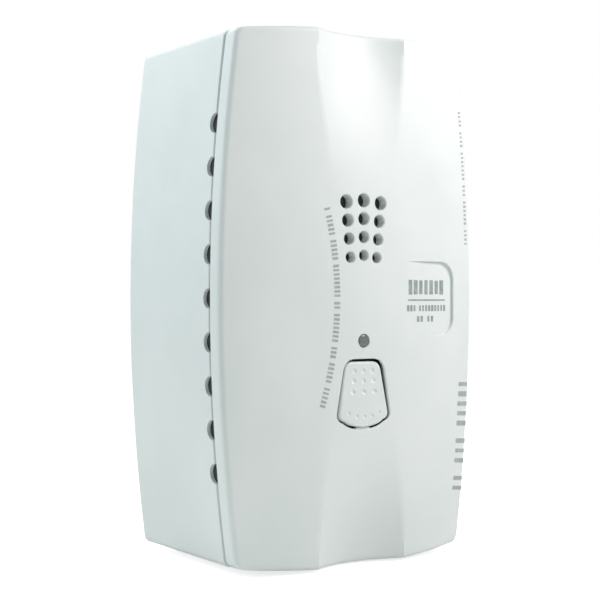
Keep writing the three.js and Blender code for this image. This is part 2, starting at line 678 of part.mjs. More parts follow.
function lightPipe() {
  const faceInside = faceDepthAt(0, LIGHT_HEIGHT) - COVER_WALL;
  const back = BOARD_FRONT + SOLDER_GAP + LED_HEIGHT + LIGHT_GAP;
  const front = faceDepthAt(0, LIGHT_HEIGHT);
  return turned([
    [0, back],
    [PIPE_DIAMETER / 2, back],
    [PIPE_DIAMETER / 2, faceInside - PIPE_FLANGE_THICKNESS],
    [PIPE_FLANGE / 2, faceInside - PIPE_FLANGE_THICKNESS],
    [PIPE_FLANGE / 2, faceInside],
    [PIPE_DIAMETER / 2, faceInside],
    [PIPE_DIAMETER / 2, front - 0.2],
    [PIPE_DIAMETER / 2 - 0.3, front],
    [0, front + 0.05],
  ], 24);
}

function testButton() {
  const front = faceDepthAt(0, STEM_HEIGHT) + BUTTON_PROUD;
  const back = front - BUTTON_THICKNESS;
  const plungerTop = BOARD_FRONT + SOLDER_GAP + SWITCH_HEIGHT + PLUNGER_HEIGHT;
  const radius = STEM_DIAMETER / 2;
  const plate = prism(buttonOutline(0), back, front);
  const stem = rod(0, STEM_HEIGHT, plungerTop + STEM_GAP, back + 0.5, radius, radius + 0.7);
  return plate.add(stem);
}

// ---------------------------------------------------------------- the board and its parts

function circuitBoard() {
  const height = BOARD_TOP - BOARD_BOTTOM;
  const middle = (BOARD_TOP + BOARD_BOTTOM) / 2;
  const shape = roundedRectangle(0, middle, 2 * BOARD_HALF_WIDTH, height, 1.5, 3);
  const hole = (x, z, radius) => new THREE.Path(arc(x, z, radius, 0, -2 * Math.PI, 20));
  for (const [x, z] of BOARD_SCREWS) {
    shape.holes.push(hole(x, z, BOARD_SCREW / 2 + SCREW_CLEARANCE));
  }
  shape.holes.push(hole(0, GANG_SPACING / 2, DRIVER_HOLE / 2));
  return prism(shape, BOARD_BACK, BOARD_FRONT);
}

// Each part below stands at depth 0 and is placed on the board afterwards.

function gasSensor() {
  const radius = SENSOR_DIAMETER / 2;
  return turned([
    [0, 0],
    [radius, 0],
    [radius, SENSOR_HEIGHT - 1],
    [radius - 1, SENSOR_HEIGHT],
    [0, SENSOR_HEIGHT],
  ]);
}

function sensorCap() {
  const radius = SENSOR_CAP_DIAMETER / 2;
  return turned([[0, 0], [radius, 0], [radius, SENSOR_CAP_HEIGHT], [0, SENSOR_CAP_HEIGHT]]);
}

function sounder() {
  const radius = SOUNDER_DIAMETER / 2;
  const port = SOUNDER_PORT / 2;
  return turned([
    [0, 0],
    [radius, 0],
    [radius, SOUNDER_HEIGHT - 0.6],
    [radius - 0.6, SOUNDER_HEIGHT],
    [port, SOUNDER_HEIGHT],
    [port, SOUNDER_HEIGHT - 2],
    [0, SOUNDER_HEIGHT - 2],
  ], 36);
}

function gasket(height) {
  const outer = SOUNDER_DIAMETER / 2 - 0.6;
  const inner = GASKET_BORE / 2;
  return turned([[inner, 0], [outer, 0], [outer, height], [inner, height], [inner, 0]], 32);
}

function light() {
  const radius = LED_DIAMETER / 2;
  const flange = radius + 0.4;
  return turned([
    [0, 0],
    [flange, 0],
    [flange, 0.8],
    [radius, 0.8],
    [radius, LED_HEIGHT - radius],
    [radius * 0.87, LED_HEIGHT - radius * 0.5],
    [radius * 0.5, LED_HEIGHT - radius * 0.13],
    [0, LED_HEIGHT],
  ], 20);
}

function roundedBox(width, length, height, radius) {
  return prism(roundedRectangle(0, 0, width, length, radius, 3), 0, height);
}

function switchBody() {
  const well = PLUNGER_DIAMETER / 2 + PLUNGER_CLEARANCE;
  const floor = SWITCH_HEIGHT - PLUNGER_SINK - PLUNGER_TRAVEL - PLUNGER_CLEARANCE;
  return roundedBox(SWITCH_SIZE, SWITCH_SIZE, SWITCH_HEIGHT, 0.5)
    .subtract(rod(0, 0, floor, SWITCH_HEIGHT + 1, well));
}

function switchPlunger() {
  return rod(0, 0, SWITCH_HEIGHT - PLUNGER_SINK, SWITCH_HEIGHT + PLUNGER_HEIGHT, PLUNGER_DIAMETER / 2);
}

function terminalX(i) {
  return (i - (TERMINAL_COUNT - 1) / 2) * TERMINAL_PITCH;
}

const TERMINAL_WELL_DEPTH = 2.6;
const TERMINAL_WELL_Z = 1.2; // the wells sit above the block's middle

function terminalBlock() {
  const half = TERMINAL_HALF_WIDTH;
  let body = block(-half, half, -TERMINAL_DEPTH / 2, TERMINAL_DEPTH / 2, 0, TERMINAL_HEIGHT);
  for (let i = 0; i < TERMINAL_COUNT; i += 1) {
    const x = terminalX(i);
    const well = TERMINAL_HEIGHT - TERMINAL_WELL_DEPTH;
    body = body.subtract(
      rod(x, TERMINAL_WELL_Z, well, TERMINAL_HEIGHT + 1, TERMINAL_WELL / 2, TERMINAL_WELL / 2, 14),
    );
    body = body.subtract(block(
      x - WIRE_HOLE / 2, x + WIRE_HOLE / 2,
      -TERMINAL_DEPTH / 2 - 1, TERMINAL_WELL_Z,
      1.8, 1.8 + WIRE_HOLE,
    ));
  }
  return body;
}

function slottedHead(radius, height, slot, sides) {
  return cut(
    rod(0, 0, 0, height, radius, radius, sides),
    block(-radius - 1, radius + 1, -slot / 2, slot / 2, height / 2, height + 1),
  );
}

function terminalScrew() {
  return slottedHead(TERMINAL_SCREW / 2, 1.6, 0.7, 14);
}

function boardScrew() {
  const shank = BOARD_SCREW / 2;
  const length = BOARD_SCREW_LENGTH - 0.5;
  return slottedHead(BOARD_SCREW_HEAD / 2, BOARD_SCREW_HEAD_HEIGHT, 0.8, 18)
    .add(rod(0, 0, -length, 0.4, shank, shank, 18));
}

function capacitor(diameter, height) {
  const radius = diameter / 2;
  return turned([
    [0, 0],
    [radius, 0],
    [radius, 1.4],
    [radius - 0.4, 1.9],
    [radius, 2.4],
    [radius, height - 0.5],
    [radius - 0.5, height],
    [0, height],
  ], 24);
}

function regulator() {
  const half = REGULATOR_WIDTH / 2;
  const back = REGULATOR_DEPTH / 2;
  const body = block(-half, half, -back, back, 0, REGULATOR_HEIGHT);
  const tab = block(-half, half, back - REGULATOR_TAB, back, REGULATOR_HEIGHT - 1, REGULATOR_TAB_HEIGHT);
  return body.add(tab);
}

// A comb: one plate with upright fins.
function heatSink() {
  const half = SINK_WIDTH / 2;
  let body = block(-half, half, 0, SINK_PLATE, 0, SINK_HEIGHT);
  for (let i = 0; i < SINK_FINS; i += 1) {
    const x = -half + (SINK_WIDTH - SINK_FIN) * i / (SINK_FINS - 1);
    body = body.add(block(x, x + SINK_FIN, SINK_PLATE / 2, SINK_DEPTH, 0, SINK_HEIGHT));
  }
  return body;
}

// ---------------------------------------------------------------- materials

function plastic(colour, roughness = 0.5) {
  return () => new THREE.MeshStandardMaterial({ color: colour, roughness, metalness: 0 });
}

function metal(colour, roughness = 0.35) {
  return () => new THREE.MeshStandardMaterial({ color: colour, roughness, metalness: 1 });
}

const CASE_WHITE = plastic(0xe9eceb, 0.45);
const PIPE_GREY = plastic(0x9aa09e, 0.25);
const BOARD_GREEN = plastic(0x1f5a3a, 0.55);
const BLACK = plastic(0x1c1d1f, 0.5);
const DARK_FOAM = plastic(0x3a3b3d, 0.95);
const RELAY_BLUE = plastic(0x2c5ea8, 0.4);
const TERMINAL_GREEN = plastic(0x2f7f4f, 0.5);
const CAP_WHITE = plastic(0xdfe2df, 0.7);
const LENS_GREEN = plastic(0x9fd8a8, 0.15);
const STEEL = metal(0xb8bcc0);
const ALUMINIUM = metal(0xc9ccce, 0.3);

// ---------------------------------------------------------------- assembly

function piece(name, body, material, x = 0, depth = 0, z = 0) {
  const mesh = new THREE.Mesh(geometryOf(body), material());
  mesh.name = name;
  mesh.position.set(x, -depth, z);
  return mesh;
}

const base = new THREE.Group();
base.add(piece('rear_base', rearBase(), CASE_WHITE));
base.add(piece('circuit_board', circuitBoard(), BOARD_GREEN));

// Everything soldered or screwed to the board's front face.
const onBoard = new THREE.Group();
onBoard.position.set(0, -(BOARD_FRONT + SOLDER_GAP), 0);
base.add(onBoard);

onBoard.add(piece('co_sensor', gasSensor(), STEEL, SENSOR_X, 0, SENSOR_Z));
onBoard.add(piece(
  'sensor_filter_cap', sensorCap(), CAP_WHITE, SENSOR_X, SENSOR_HEIGHT + SOLDER_GAP, SENSOR_Z,
));
onBoard.add(piece('sounder', sounder(), BLACK, 0, 0, SOUNDER_Z));
const gasketStart = SOUNDER_HEIGHT + SOLDER_GAP;
const gasketEdge = faceDepthAt(SOUNDER_DIAMETER / 2, SOUNDER_Z + SOUNDER_DIAMETER / 2);
const gasketHeight = gasketEdge - COVER_WALL - GASKET_TO_FACE - BOARD_FRONT - gasketStart;
onBoard.add(piece('sounder_gasket', gasket(gasketHeight), DARK_FOAM, 0, gasketStart, SOUNDER_Z));
onBoard.add(piece('status_led', light(), LENS_GREEN, 0, 0, LIGHT_HEIGHT));
onBoard.add(piece('test_switch', switchBody(), BLACK, 0, 0, STEM_HEIGHT));
onBoard.add(piece('switch_plunger', switchPlunger(), CAP_WHITE, 0, 0, STEM_HEIGHT));
onBoard.add(piece(
  'alarm_relay', roundedBox(RELAY_WIDTH, RELAY_LENGTH, RELAY_HEIGHT, 0.8), RELAY_BLUE,
  -RELAY_X, 0, RELAY_Z,
));
onBoard.add(piece(
  'trouble_relay', roundedBox(RELAY_WIDTH, RELAY_LENGTH, RELAY_HEIGHT, 0.8), RELAY_BLUE,
  RELAY_X, 0, RELAY_Z,
));
const terminalZ = BOARD_BOTTOM + TERMINAL_DEPTH / 2;
onBoard.add(piece('terminal_block', terminalBlock(), TERMINAL_GREEN, 0, 0, terminalZ));
for (let i = 0; i < TERMINAL_COUNT; i += 1) {
  onBoard.add(piece(
    `terminal_screw_${i + 1}`, terminalScrew(), STEEL,
    terminalX(i), TERMINAL_HEIGHT - TERMINAL_WELL_DEPTH + SOLDER_GAP, terminalZ + TERMINAL_WELL_Z,
  ));
}
onBoard.add(piece(
  'main_capacitor', capacitor(BIG_CAPACITOR, BIG_CAPACITOR_HEIGHT), BLACK,
  PART_EDGE - BIG_CAPACITOR / 2, 0, BIG_CAPACITOR_Z,
));
onBoard.add(piece(
  'filter_capacitor', capacitor(SMALL_CAPACITOR, SMALL_CAPACITOR_HEIGHT), BLACK,
  PART_EDGE - SMALL_CAPACITOR / 2, 0, SMALL_CAPACITOR_Z,
));
const powerX = PART_EDGE - SINK_WIDTH / 2;
onBoard.add(piece('voltage_regulator', regulator(), BLACK, powerX, 0, REGULATOR_Z));
onBoard.add(piece('heat_sink', heatSink(), ALUMINIUM, powerX, 0, SINK_Z));
onBoard.add(piece(
  'microcontroller', roundedBox(CHIP_SIZE, CHIP_SIZE, CHIP_HEIGHT, 0.3), BLACK,
  -PART_EDGE + CHIP_SIZE / 2, 0, SOUNDER_Z,
));
onBoard.add(piece(
  'crystal', roundedBox(CRYSTAL_LENGTH, CRYSTAL_WIDTH, CRYSTAL_HEIGHT, CRYSTAL_WIDTH / 2 - 0.1), STEEL,
  -PART_EDGE + CRYSTAL_LENGTH / 2, 0, RELAY_TOP + PART_SPACE + CRYSTAL_WIDTH / 2,
));
BOARD_SCREWS.forEach(([x, z], i) => {
  onBoard.add(piece(`board_screw_${i + 1}`, boardScrew(), STEEL, x, 0, z));
});

const cover = new THREE.Group();
cover.add(piece('front_cover', frontCover(), CASE_WHITE));
cover.add(piece('led_light_pipe', lightPipe(), PIPE_GREY, 0, 0, LIGHT_HEIGHT));
cover.add(piece('test_button', testButton(), CASE_WHITE));

const detector = new THREE.Group();
detector.add(base, cover);

export default detector;
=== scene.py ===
# %% [markdown]
# # A carbon monoxide alarm, piece by piece
#
# This alarm is a tall white box for a wall. It is made of two main mouldings: a deep rear
# base, and a front cover that hooks over the top of the base. The cover carries a speaker
# grille, a small light and a test button. A circuit board with its parts sits inside.
#
# The measured model is loaded first. It is a frame that this script dresses: it says where
# each piece is and which body it moves with. The boxes of its parts give some sizes.

# %% Load the measured frame
import math
import random

import bmesh
import bpy
from mathutils import Matrix, Vector


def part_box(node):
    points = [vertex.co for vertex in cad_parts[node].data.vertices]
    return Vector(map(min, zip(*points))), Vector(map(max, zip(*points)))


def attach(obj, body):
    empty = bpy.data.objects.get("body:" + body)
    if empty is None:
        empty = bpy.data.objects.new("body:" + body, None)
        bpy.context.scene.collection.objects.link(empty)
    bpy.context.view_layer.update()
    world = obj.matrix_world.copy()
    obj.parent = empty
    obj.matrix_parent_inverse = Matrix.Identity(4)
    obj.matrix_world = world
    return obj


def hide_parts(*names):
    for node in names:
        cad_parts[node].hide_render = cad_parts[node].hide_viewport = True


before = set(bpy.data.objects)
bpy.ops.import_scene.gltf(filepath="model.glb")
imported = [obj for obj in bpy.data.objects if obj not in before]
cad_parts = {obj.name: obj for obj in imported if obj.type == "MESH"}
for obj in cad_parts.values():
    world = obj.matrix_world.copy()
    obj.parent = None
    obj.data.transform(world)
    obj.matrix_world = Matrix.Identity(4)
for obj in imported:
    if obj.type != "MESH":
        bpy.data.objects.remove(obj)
bpy.context.view_layer.update()

# %% [markdown]
# ## The camera
#
# The alarm is seen from its left, level with its middle, with a long lens. A camera can be
# turned by hand or pointed at a target. Here a direction is turned into a rotation, because
# a target object would be one more thing to keep. The small shift slides the picture a
# little without turning the view.

# %% Place the camera
CAMERA_PLACE = Vector((-0.1943, -0.3093, 0.0))
CAMERA_TARGET = Vector((0.0, -0.024, 0.0))


def placed(name, data):
    """An object for some data, linked to the scene."""
    made = bpy.data.objects.new(name, data)
    bpy.context.scene.collection.objects.link(made)
    return made


def looking(place, target):
    """The rotation that turns a camera or a lamp from its place to a target."""
    return (target - place).to_track_quat("-Z", "Y").to_euler()


camera_data = bpy.data.cameras.new("camera")
camera_data.sensor_width = 36
camera_data.lens = 79.6
camera_data.shift_x = -0.0075
camera_data.shift_y = -0.0028
camera = placed("camera", camera_data)
camera.location = CAMERA_PLACE
camera.rotation_euler = looking(CAMERA_PLACE, CAMERA_TARGET)
bpy.context.scene.camera = camera
bpy.context.scene.view_settings.view_transform = "Standard"
print("camera distance:", round((CAMERA_TARGET - CAMERA_PLACE).length, 3), "m")

# %% [markdown]
# ## Sketches and pieces
#
# Small objects are easier to think about in millimetres, while Blender keeps metres. So every
# shape is sketched in millimetres, and one helper scales it, cleans it, gives it its finish
# and hangs it on the body that it moves with. A point is given as it is seen from the front:
# across, up, and how far it stands out from the wall. Edges sharper than a limit stay crisp,
# and all others are shaded smoothly.

# %% Helpers that turn a sketch into a piece
MM = 0.001


def at(x, z, depth):
    """A point seen from the front: across, up, and out from the wall."""
    return Vector((x, -depth, z))


def tidy_sketch(bm, touching=0.0005):
    """Merge touching points, close any slit and turn every face outwards."""
    bmesh.ops.remove_doubles(bm, verts=bm.verts, dist=touching)
    bmesh.ops.dissolve_degenerate(bm, edges=bm.edges, dist=touching)
    slits = [edge for edge in bm.edges if edge.is_boundary]
    if slits:
        bmesh.ops.holes_fill(bm, edges=slits, sides=0)
    bmesh.ops.recalc_face_normals(bm, faces=bm.faces)


def finish_piece(name, bm, body, finish, stands_for=(), crisp=32):
    """Make a sketch a piece in metres that rides on a body and wears a finish."""
    tidy_sketch(bm, touching=0.002)
    bmesh.ops.scale(bm, vec=(MM, MM, MM), verts=bm.verts)
    for edge in bm.edges:
        edge.smooth = not edge.is_manifold or edge.calc_face_angle(0) < math.radians(crisp)
    for face in bm.faces:
        face.smooth = True
    mesh = bpy.data.meshes.new(name)
    bm.to_mesh(mesh)
    bm.free()
    mesh.materials.append(finish)
    piece = placed(name, mesh)
    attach(piece, body)
    if stands_for:
        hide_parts(*stands_for)
    print(f"{name}: {len(mesh.polygons)} faces on {body}")
    return piece


print("one millimetre is", MM, "m")

# %% [markdown]
# ## Solids from stacked outlines
#
# Most moulded parts are an outline that goes straight through, with small changes at its
# ends. So one helper takes a stack of outlines with the same number of points: it fills the
# first one and extrudes it to each of the others in turn. Other helpers turn a profile about
# an axis with a full spin, make a box with softened edges, and cut or join shapes with a
# Boolean, which is the tool for holes in a curved wall.

# %% Helpers that make solids


def stacked(rings, bm=None):
    """A closed solid through outlines that have the same number of points."""
    bm = bm or bmesh.new()
    place = bm.verts.layers.int.get("place") or bm.verts.layers.int.new("place")
    first = [bm.verts.new(point) for point in rings[0]]
    for index, vert in enumerate(first):
        vert[place] = index
    face = bm.faces.new(first)
    for number, ring in enumerate(rings[1:]):
        region = bmesh.ops.extrude_face_region(bm, geom=[face])["geom"]
        if number:
            bmesh.ops.delete(bm, geom=[face], context="FACES_ONLY")
        face = next(item for item in region if isinstance(item, bmesh.types.BMFace))
        for vert in face.verts:
            vert.co = ring[vert[place]]
    return bm


def spun(points, middle, axis, sides, bm):
    """Spin a chain of points all the way round an axis."""
    chain = [bm.verts.new(point) for point in points]
    edges = [bm.edges.new(pair) for pair in zip(chain, chain[1:])]
    bmesh.ops.spin(
        bm, geom=chain + edges, cent=middle, axis=axis, angle=math.tau, steps=sides,
        use_merge=True,
    )


def turned(profile, x=0, z=0, base=0, sides=40, bm=None):
    """A round solid about a line out from the wall, from a profile of (radius, height)."""
    bm = bm or bmesh.new()
    points = [at(x + radius, z, base + height) for radius, height in profile]
    spun(points, at(x, z, base), (0, 1, 0), sides, bm)
    return bm


def soft_block(x0, x1, z0, z1, d0, d1, soften=0.2, segments=2, bm=None):
    """A box between two corners, with softened edges."""
    made = bmesh.new()
    bmesh.ops.create_cube(made, size=1)
    bmesh.ops.scale(made, vec=(x1 - x0, d1 - d0, z1 - z0), verts=made.verts)
    bmesh.ops.translate(
        made, vec=at((x0 + x1) / 2, (z0 + z1) / 2, (d0 + d1) / 2), verts=made.verts,
    )
    if soften:
        bmesh.ops.bevel(
            made, geom=made.edges[:], offset=soften, segments=segments, affect="EDGES",
            profile=0.5, material=-1,
        )
    return poured(made, bm)


def poured(source, bm=None):
    """Add one sketch to another, and give back the one that holds both."""
    if bm is None:
        return source
    carrier = bpy.data.meshes.new("carrier")
    source.to_mesh(carrier)
    source.free()
    bm.from_mesh(carrier)
    bpy.data.meshes.remove(carrier)
    return bm


def sketch_object(bm):
    """A sketch as a passing object, for a Boolean."""
    tidy_sketch(bm)
    mesh = bpy.data.meshes.new("sketch")
    bm.to_mesh(mesh)
    bm.free()
    return placed("sketch", mesh)


def carved(bm, *steps):
    """Join shapes to a sketch or cut them from it, in the order that they are given."""
    body = sketch_object(bm)
    tools = []
    for operation, shape in steps:
        tool = sketch_object(shape)
        modifier = body.modifiers.new("carve", "BOOLEAN")
        modifier.operation = operation
        modifier.solver = "EXACT"
        modifier.object = tool
        tools.append(tool)
    bpy.context.view_layer.update()
    result = bmesh.new()
    result.from_object(body, bpy.context.evaluated_depsgraph_get())
    for passing in [body, *tools]:
        mesh = passing.data
        bpy.data.objects.remove(passing)
        bpy.data.meshes.remove(mesh)
    print("  carved with", len(steps), "shapes:", len(result.faces), "faces")
    return result


trial = turned([(0, 0), (1, 0), (1, 2), (0, 2)])
print("a turned trial piece:", len(trial.faces), "faces")
trial.free()

# %% [markdown]
# ## Outlines
#
# The case looks like a rectangle, but nothing on it is quite straight: the long sides bow
# outwards and the ends are slightly crowned. It could be drawn as a curve object, but a few
# arcs in a list are simpler to move inwards for the walls. The corner arcs are placed so
# that they touch the side arcs and the end arcs without a kink.

# %% Outlines in millimetres
WIDTH = 76.8
HEIGHT = 130.6
SIDE_BOW = 4.3
END_CROWN = 2.0
CORNER_RADIUS = 2.0
BASE_DEPTH = 40.5
WALL = 2.5
HALF_WIDTH = WIDTH / 2
HALF_HEIGHT = HEIGHT / 2
END_HALF_WIDTH = HALF_WIDTH - SIDE_BOW
END_HALF_HEIGHT = HALF_HEIGHT - END_CROWN
SIDE_ARC = (END_HALF_HEIGHT ** 2 + SIDE_BOW ** 2) / (2 * SIDE_BOW)
END_ARC = (END_HALF_WIDTH ** 2 + END_CROWN ** 2) / (2 * END_CROWN)


def arc(x, z, radius, start, stop, steps):
    """Points along an arc, without its last point."""
    turn = (stop - start) / steps
    return [
        (x + radius * math.cos(start + turn * i), z + radius * math.sin(start + turn * i))
        for i in range(steps)
    ]


def round_rectangle(x, z, width, height, radius, steps=6):
    """A rectangle with round corners about a middle point."""
    quarter = math.pi / 2
    half_x = width / 2 - radius
    half_z = height / 2 - radius
    corners = [(1, -1), (1, 1), (-1, 1), (-1, -1)]
    points = []
    for index, (right, up) in enumerate(corners):
        start = (index - 1) * quarter
        points += arc(x + right * half_x, z + up * half_z, radius, start, start + quarter, steps)
        stop = start + quarter
        points.append((
            x + right * half_x + radius * math.cos(stop),
            z + up * half_z + radius * math.sin(stop),
        ))
    return points


def case_outline(inset, side_steps=44, end_steps=26, corner_steps=8):
    """The case's outline, moved inwards."""
    corner = max(CORNER_RADIUS - inset, CORNER_RADIUS / 2)
    side_x = HALF_WIDTH - SIDE_ARC
    end_z = HALF_HEIGHT - END_ARC
    to_side = SIDE_ARC - inset - corner
    to_end = END_ARC - inset - corner
    apart = math.hypot(side_x, end_z)
    along = (to_side ** 2 - to_end ** 2 + apart ** 2) / (2 * apart)
    off = math.sqrt(to_side ** 2 - along ** 2)
    over = -side_x / apart
    up = end_z / apart
    corner_x = side_x + over * along - up * off
    corner_z = up * along + over * off
    a = math.atan2(corner_z, corner_x - side_x)
    b = math.atan2(corner_z - end_z, corner_x)
    half = math.pi
    side = SIDE_ARC - inset
    end = END_ARC - inset
    return [
        *arc(side_x, 0, side, -a, a, side_steps),
        *arc(corner_x, corner_z, corner, a, b, corner_steps),
        *arc(0, end_z, end, b, half - b, end_steps),
        *arc(-corner_x, corner_z, corner, half - b, half - a, corner_steps),
        *arc(-side_x, 0, side, half - a, half + a, side_steps),
        *arc(-corner_x, -corner_z, corner, half + a, half + b, corner_steps),
        *arc(0, -end_z, end, half + b, 2 * half - b, end_steps),
        *arc(corner_x, -corner_z, corner, 2 * half - b, 2 * half - a, corner_steps),
    ]


def grown(points, by):
    """An outline moved outwards by a distance; a negative distance moves it inwards."""
    moved = []
    for index, (x, z) in enumerate(points):
        before = Vector(points[index - 1])
        after = Vector(points[(index + 1) % len(points)])
        here = Vector((x, z))
        first = (here - before).normalized()
        second = (after - here).normalized()
        along = (first + second).normalized()
        lean = max(first.dot(along), 0.5)
        moved.append((x + along.y * by / lean, z - along.x * by / lean))
    return moved


def level(points, depth):
    """An outline at a depth, which is a number or a rule from across and up."""
    if callable(depth):
        return [at(x, z, depth(x, z)) for x, z in points]
    return [at(x, z, depth) for x, z in points]


def through(points, start, stop):
    """A straight solid between two depths."""
    return stacked([level(points, start), level(points, stop)])


print("case outline:", len(case_outline(0)), "points")

# %% [markdown]
# ## Finishes
#
# A finish made of nodes needs no picture and works at any size. Most of these materials are
# made the same way on the real thing: a colour that is never perfectly even, a gloss that
# varies a little from patch to patch, and a fine grain that the mould or the machining left.
# So one recipe gives all three, read from the object's own coordinates, and each finish sets
# how large and how deep they are. A few finishes then get something of their own.

# %% A recipe for finishes


def shade(red, green, blue):
    """A colour as it is read from a screen, 0 to 255, made linear for the shader."""
    linear = []
    for value in (red, green, blue):
        share = value / 255
        linear.append(share / 12.92 if share <= 0.04045 else ((share + 0.055) / 1.055) ** 2.4)
    return (*linear, 1.0)


def fill(node, name, value):
    """Set an input of a node, or link it when the value is another node's output."""
    if isinstance(value, bpy.types.NodeSocket):
        node.id_data.links.new(value, node.inputs[name])
    else:
        node.inputs[name].default_value = value


def add_node(tree, kind, inputs, **settings):
    """Add a node, set its properties and fill its inputs."""
    made = tree.nodes.new(kind)
    for name, value in settings.items():
        setattr(made, name, value)
    for name, value in inputs.items():
        fill(made, name, value)
    return made


def own_coordinates(tree, stretch=(1, 1, 1)):
    """The object's own coordinates in metres, stretched if the pattern has a direction."""
    source = add_node(tree, "ShaderNodeTexCoord", {}).outputs["Object"]
    mapping = add_node(tree, "ShaderNodeMapping", {"Vector": source, "Scale": stretch})
    return mapping.outputs["Vector"]


def noise_pattern(tree, vector, scale, detail=3.0):
    """Soft random patches; the scale is how many fit in a metre."""
    inputs = {"Vector": vector, "Scale": scale, "Detail": detail}
    return add_node(tree, "ShaderNodeTexNoise", inputs).outputs["Fac"]


def two_tones(tree, factor, low, high, start=0.35, stop=0.65):
    """Turn a pattern into two colours with a soft border."""
    ramp = add_node(tree, "ShaderNodeValToRGB", {"Fac": factor})
    for element, place, tone in zip(ramp.color_ramp.elements, (start, stop), (low, high)):
        element.position = place
        element.color = shade(*tone)
    return ramp.outputs["Color"]


def spread(tree, factor, low, high, start=0.3, stop=0.7):
    """Turn a pattern into a number between two limits."""
    inputs = {
        "Value": factor, "From Min": start, "From Max": stop, "To Min": low, "To Max": high,
    }
    return add_node(tree, "ShaderNodeMapRange", inputs).outputs["Result"]


def add_relief(tree, height, depth):
    """A bump of some depth in metres."""
    inputs = {"Height": height, "Strength": 1.0, "Distance": depth}
    return add_node(tree, "ShaderNodeBump", inputs).outputs["Normal"]


def set_shader(material, name, value):
    """Fill an input of a material's principled shader."""
    fill(material.node_tree.nodes["Principled BSDF"], name, value)


def new_finish(
    name, low, high, roughness, gloss_spread=0.05, metallic=0.0,
    patches=70, grain=2600, grain_depth=0.00002, stretch=(1, 1, 1),
):
    """Uneven colour, uneven gloss and a fine grain on a principled shader."""
    material = bpy.data.materials.new(name)
    material.use_nodes = True
    tree = material.node_tree
    vector = own_coordinates(tree, stretch)
    patchy = noise_pattern(tree, vector, patches)
    glossy = noise_pattern(tree, vector, patches * 4)
    grainy = noise_pattern(tree, vector, grain, 2.0)
    gloss = spread(tree, glossy, roughness - gloss_spread, roughness + gloss_spread)
    set_shader(material, "Metallic", metallic)
    set_shader(material, "Base Color", two_tones(tree, patchy, low, high))
    set_shader(material, "Roughness", gloss)
    set_shader(material, "Normal", add_relief(tree, grainy, grain_depth))
    return material


def lay_under_grain(material, height, depth):
    """Lay a wider relief under the fine grain of a finish."""
    tree = material.node_tree
    grain = next(node for node in tree.nodes if node.bl_idname == "ShaderNodeBump")
    fill(grain, "Normal", add_relief(tree, height, depth))


print("middle grey is", [round(value, 3) for value in shade(128, 128, 128)[:3]])

# %% [markdown]
# ## The white case plastic
#
# The case is moulded in white plastic with a very fine eroded texture, so that it looks
# satin and hides fingerprints. A flat white would look like paper. The recipe gives the fine
# texture, and a second, wider and very shallow relief gives the gentle unevenness that a
# thin wall has when it cools in the mould.

# %% Case plastic
case_white = new_finish(
    "case_white_plastic", (223, 230, 227), (228, 234, 231), 0.42,
    patches=45, grain=3800, grain_depth=0.000012,
)
case_tree = case_white.node_tree
cooling = noise_pattern(case_tree, own_coordinates(case_tree), 110, 1.0)
lay_under_grain(case_white, cooling, 0.00006)
set_shader(case_white, "Specular IOR Level", 0.42)
button_white = new_finish(
    "button_white_plastic", (221, 229, 225), (227, 233, 230), 0.38,
    patches=90, grain=3000, grain_depth=0.000016,
)
print("finishes so far:", case_white.name, button_white.name)

# %% [markdown]
# ## The other finishes
#
# The light pipe is clear grey plastic, the printing is a thin grey ink, and the rest are the
# usual plastics and metals of a circuit board. Each could have a tree of its own, but the
# recipe covers them all. Brushed and drawn metal is grain stretched along one direction, and
# foam gets deep, coarse grain.

# %% Small plastics, inks and metals
pipe_grey = new_finish(
    "light_pipe_plastic", (112, 120, 117), (132, 139, 135), 0.28, patches=600,
    grain=1500, grain_depth=0.00001,
)
set_shader(pipe_grey, "Coat Weight", 0.5)
set_shader(pipe_grey, "Transmission Weight", 0.15)
print_grey = new_finish(
    "printed_grey_ink", (158, 168, 165), (176, 184, 181), 0.6, patches=900,
    grain=5000, grain_depth=0.00001,
)
print_dark = new_finish(
    "printed_dark_ink", (140, 152, 152), (163, 173, 172), 0.55, patches=700,
    grain=5000, grain_depth=0.00001,
)
black_plastic = new_finish(
    "black_board_plastic", (24, 25, 27), (36, 37, 39), 0.45, patches=300,
    grain=4200, grain_depth=0.00002,
)
# Real sealing foam on the sounder gasket; the same dark finish also paints the shade inside the
# vents.
foam_and_vent_shade_grey = new_finish(
    "sealing_foam_and_vent_shade", (44, 46, 47), (72, 74, 75), 0.95, gloss_spread=0.03,
    patches=1400, grain=1700, grain_depth=0.00035,
)
relay_blue = new_finish(
    "relay_case_plastic", (40, 88, 158), (44, 94, 166), 0.3, patches=120,
    grain=2400, grain_depth=0.000002,
)
terminal_green = new_finish(
    "terminal_plastic", (42, 116, 74), (52, 132, 84), 0.42, patches=200,
    grain=3200, grain_depth=0.00002,
)
filter_white = new_finish(
    "filter_membrane", (206, 208, 202), (228, 229, 224), 0.85, patches=900,
    grain=6000, grain_depth=0.00004,
)
led_green = new_finish(
    "led_lens", (140, 206, 150), (166, 222, 172), 0.12, patches=500,
    grain=900, grain_depth=0.000004,
)
set_shader(led_green, "Transmission Weight", 0.5)
screw_steel = new_finish(
    "plated_steel", (168, 172, 176), (198, 201, 204), 0.3, metallic=1.0,
    patches=700, grain=5200, grain_depth=0.00001, stretch=(1, 1, 0.12),
)
sink_aluminium = new_finish(
    "sawn_aluminium", (176, 179, 182), (206, 208, 210), 0.34, metallic=1.0,
    patches=500, grain=4200, grain_depth=0.00002, stretch=(1, 0.05, 1),
)
can_steel = new_finish(
    "drawn_sensor_can", (186, 184, 176), (208, 206, 198), 0.26, metallic=1.0,
    patches=400, grain=3600, grain_depth=0.00001, stretch=(1, 0.06, 1),
)
solder = new_finish(
    "solder", (176, 180, 184), (206, 208, 211), 0.22, metallic=1.0,
    patches=2400, grain=2600, grain_depth=0.00005,
)
print("metals:", screw_steel.name, sink_aluminium.name, can_steel.name, solder.name)

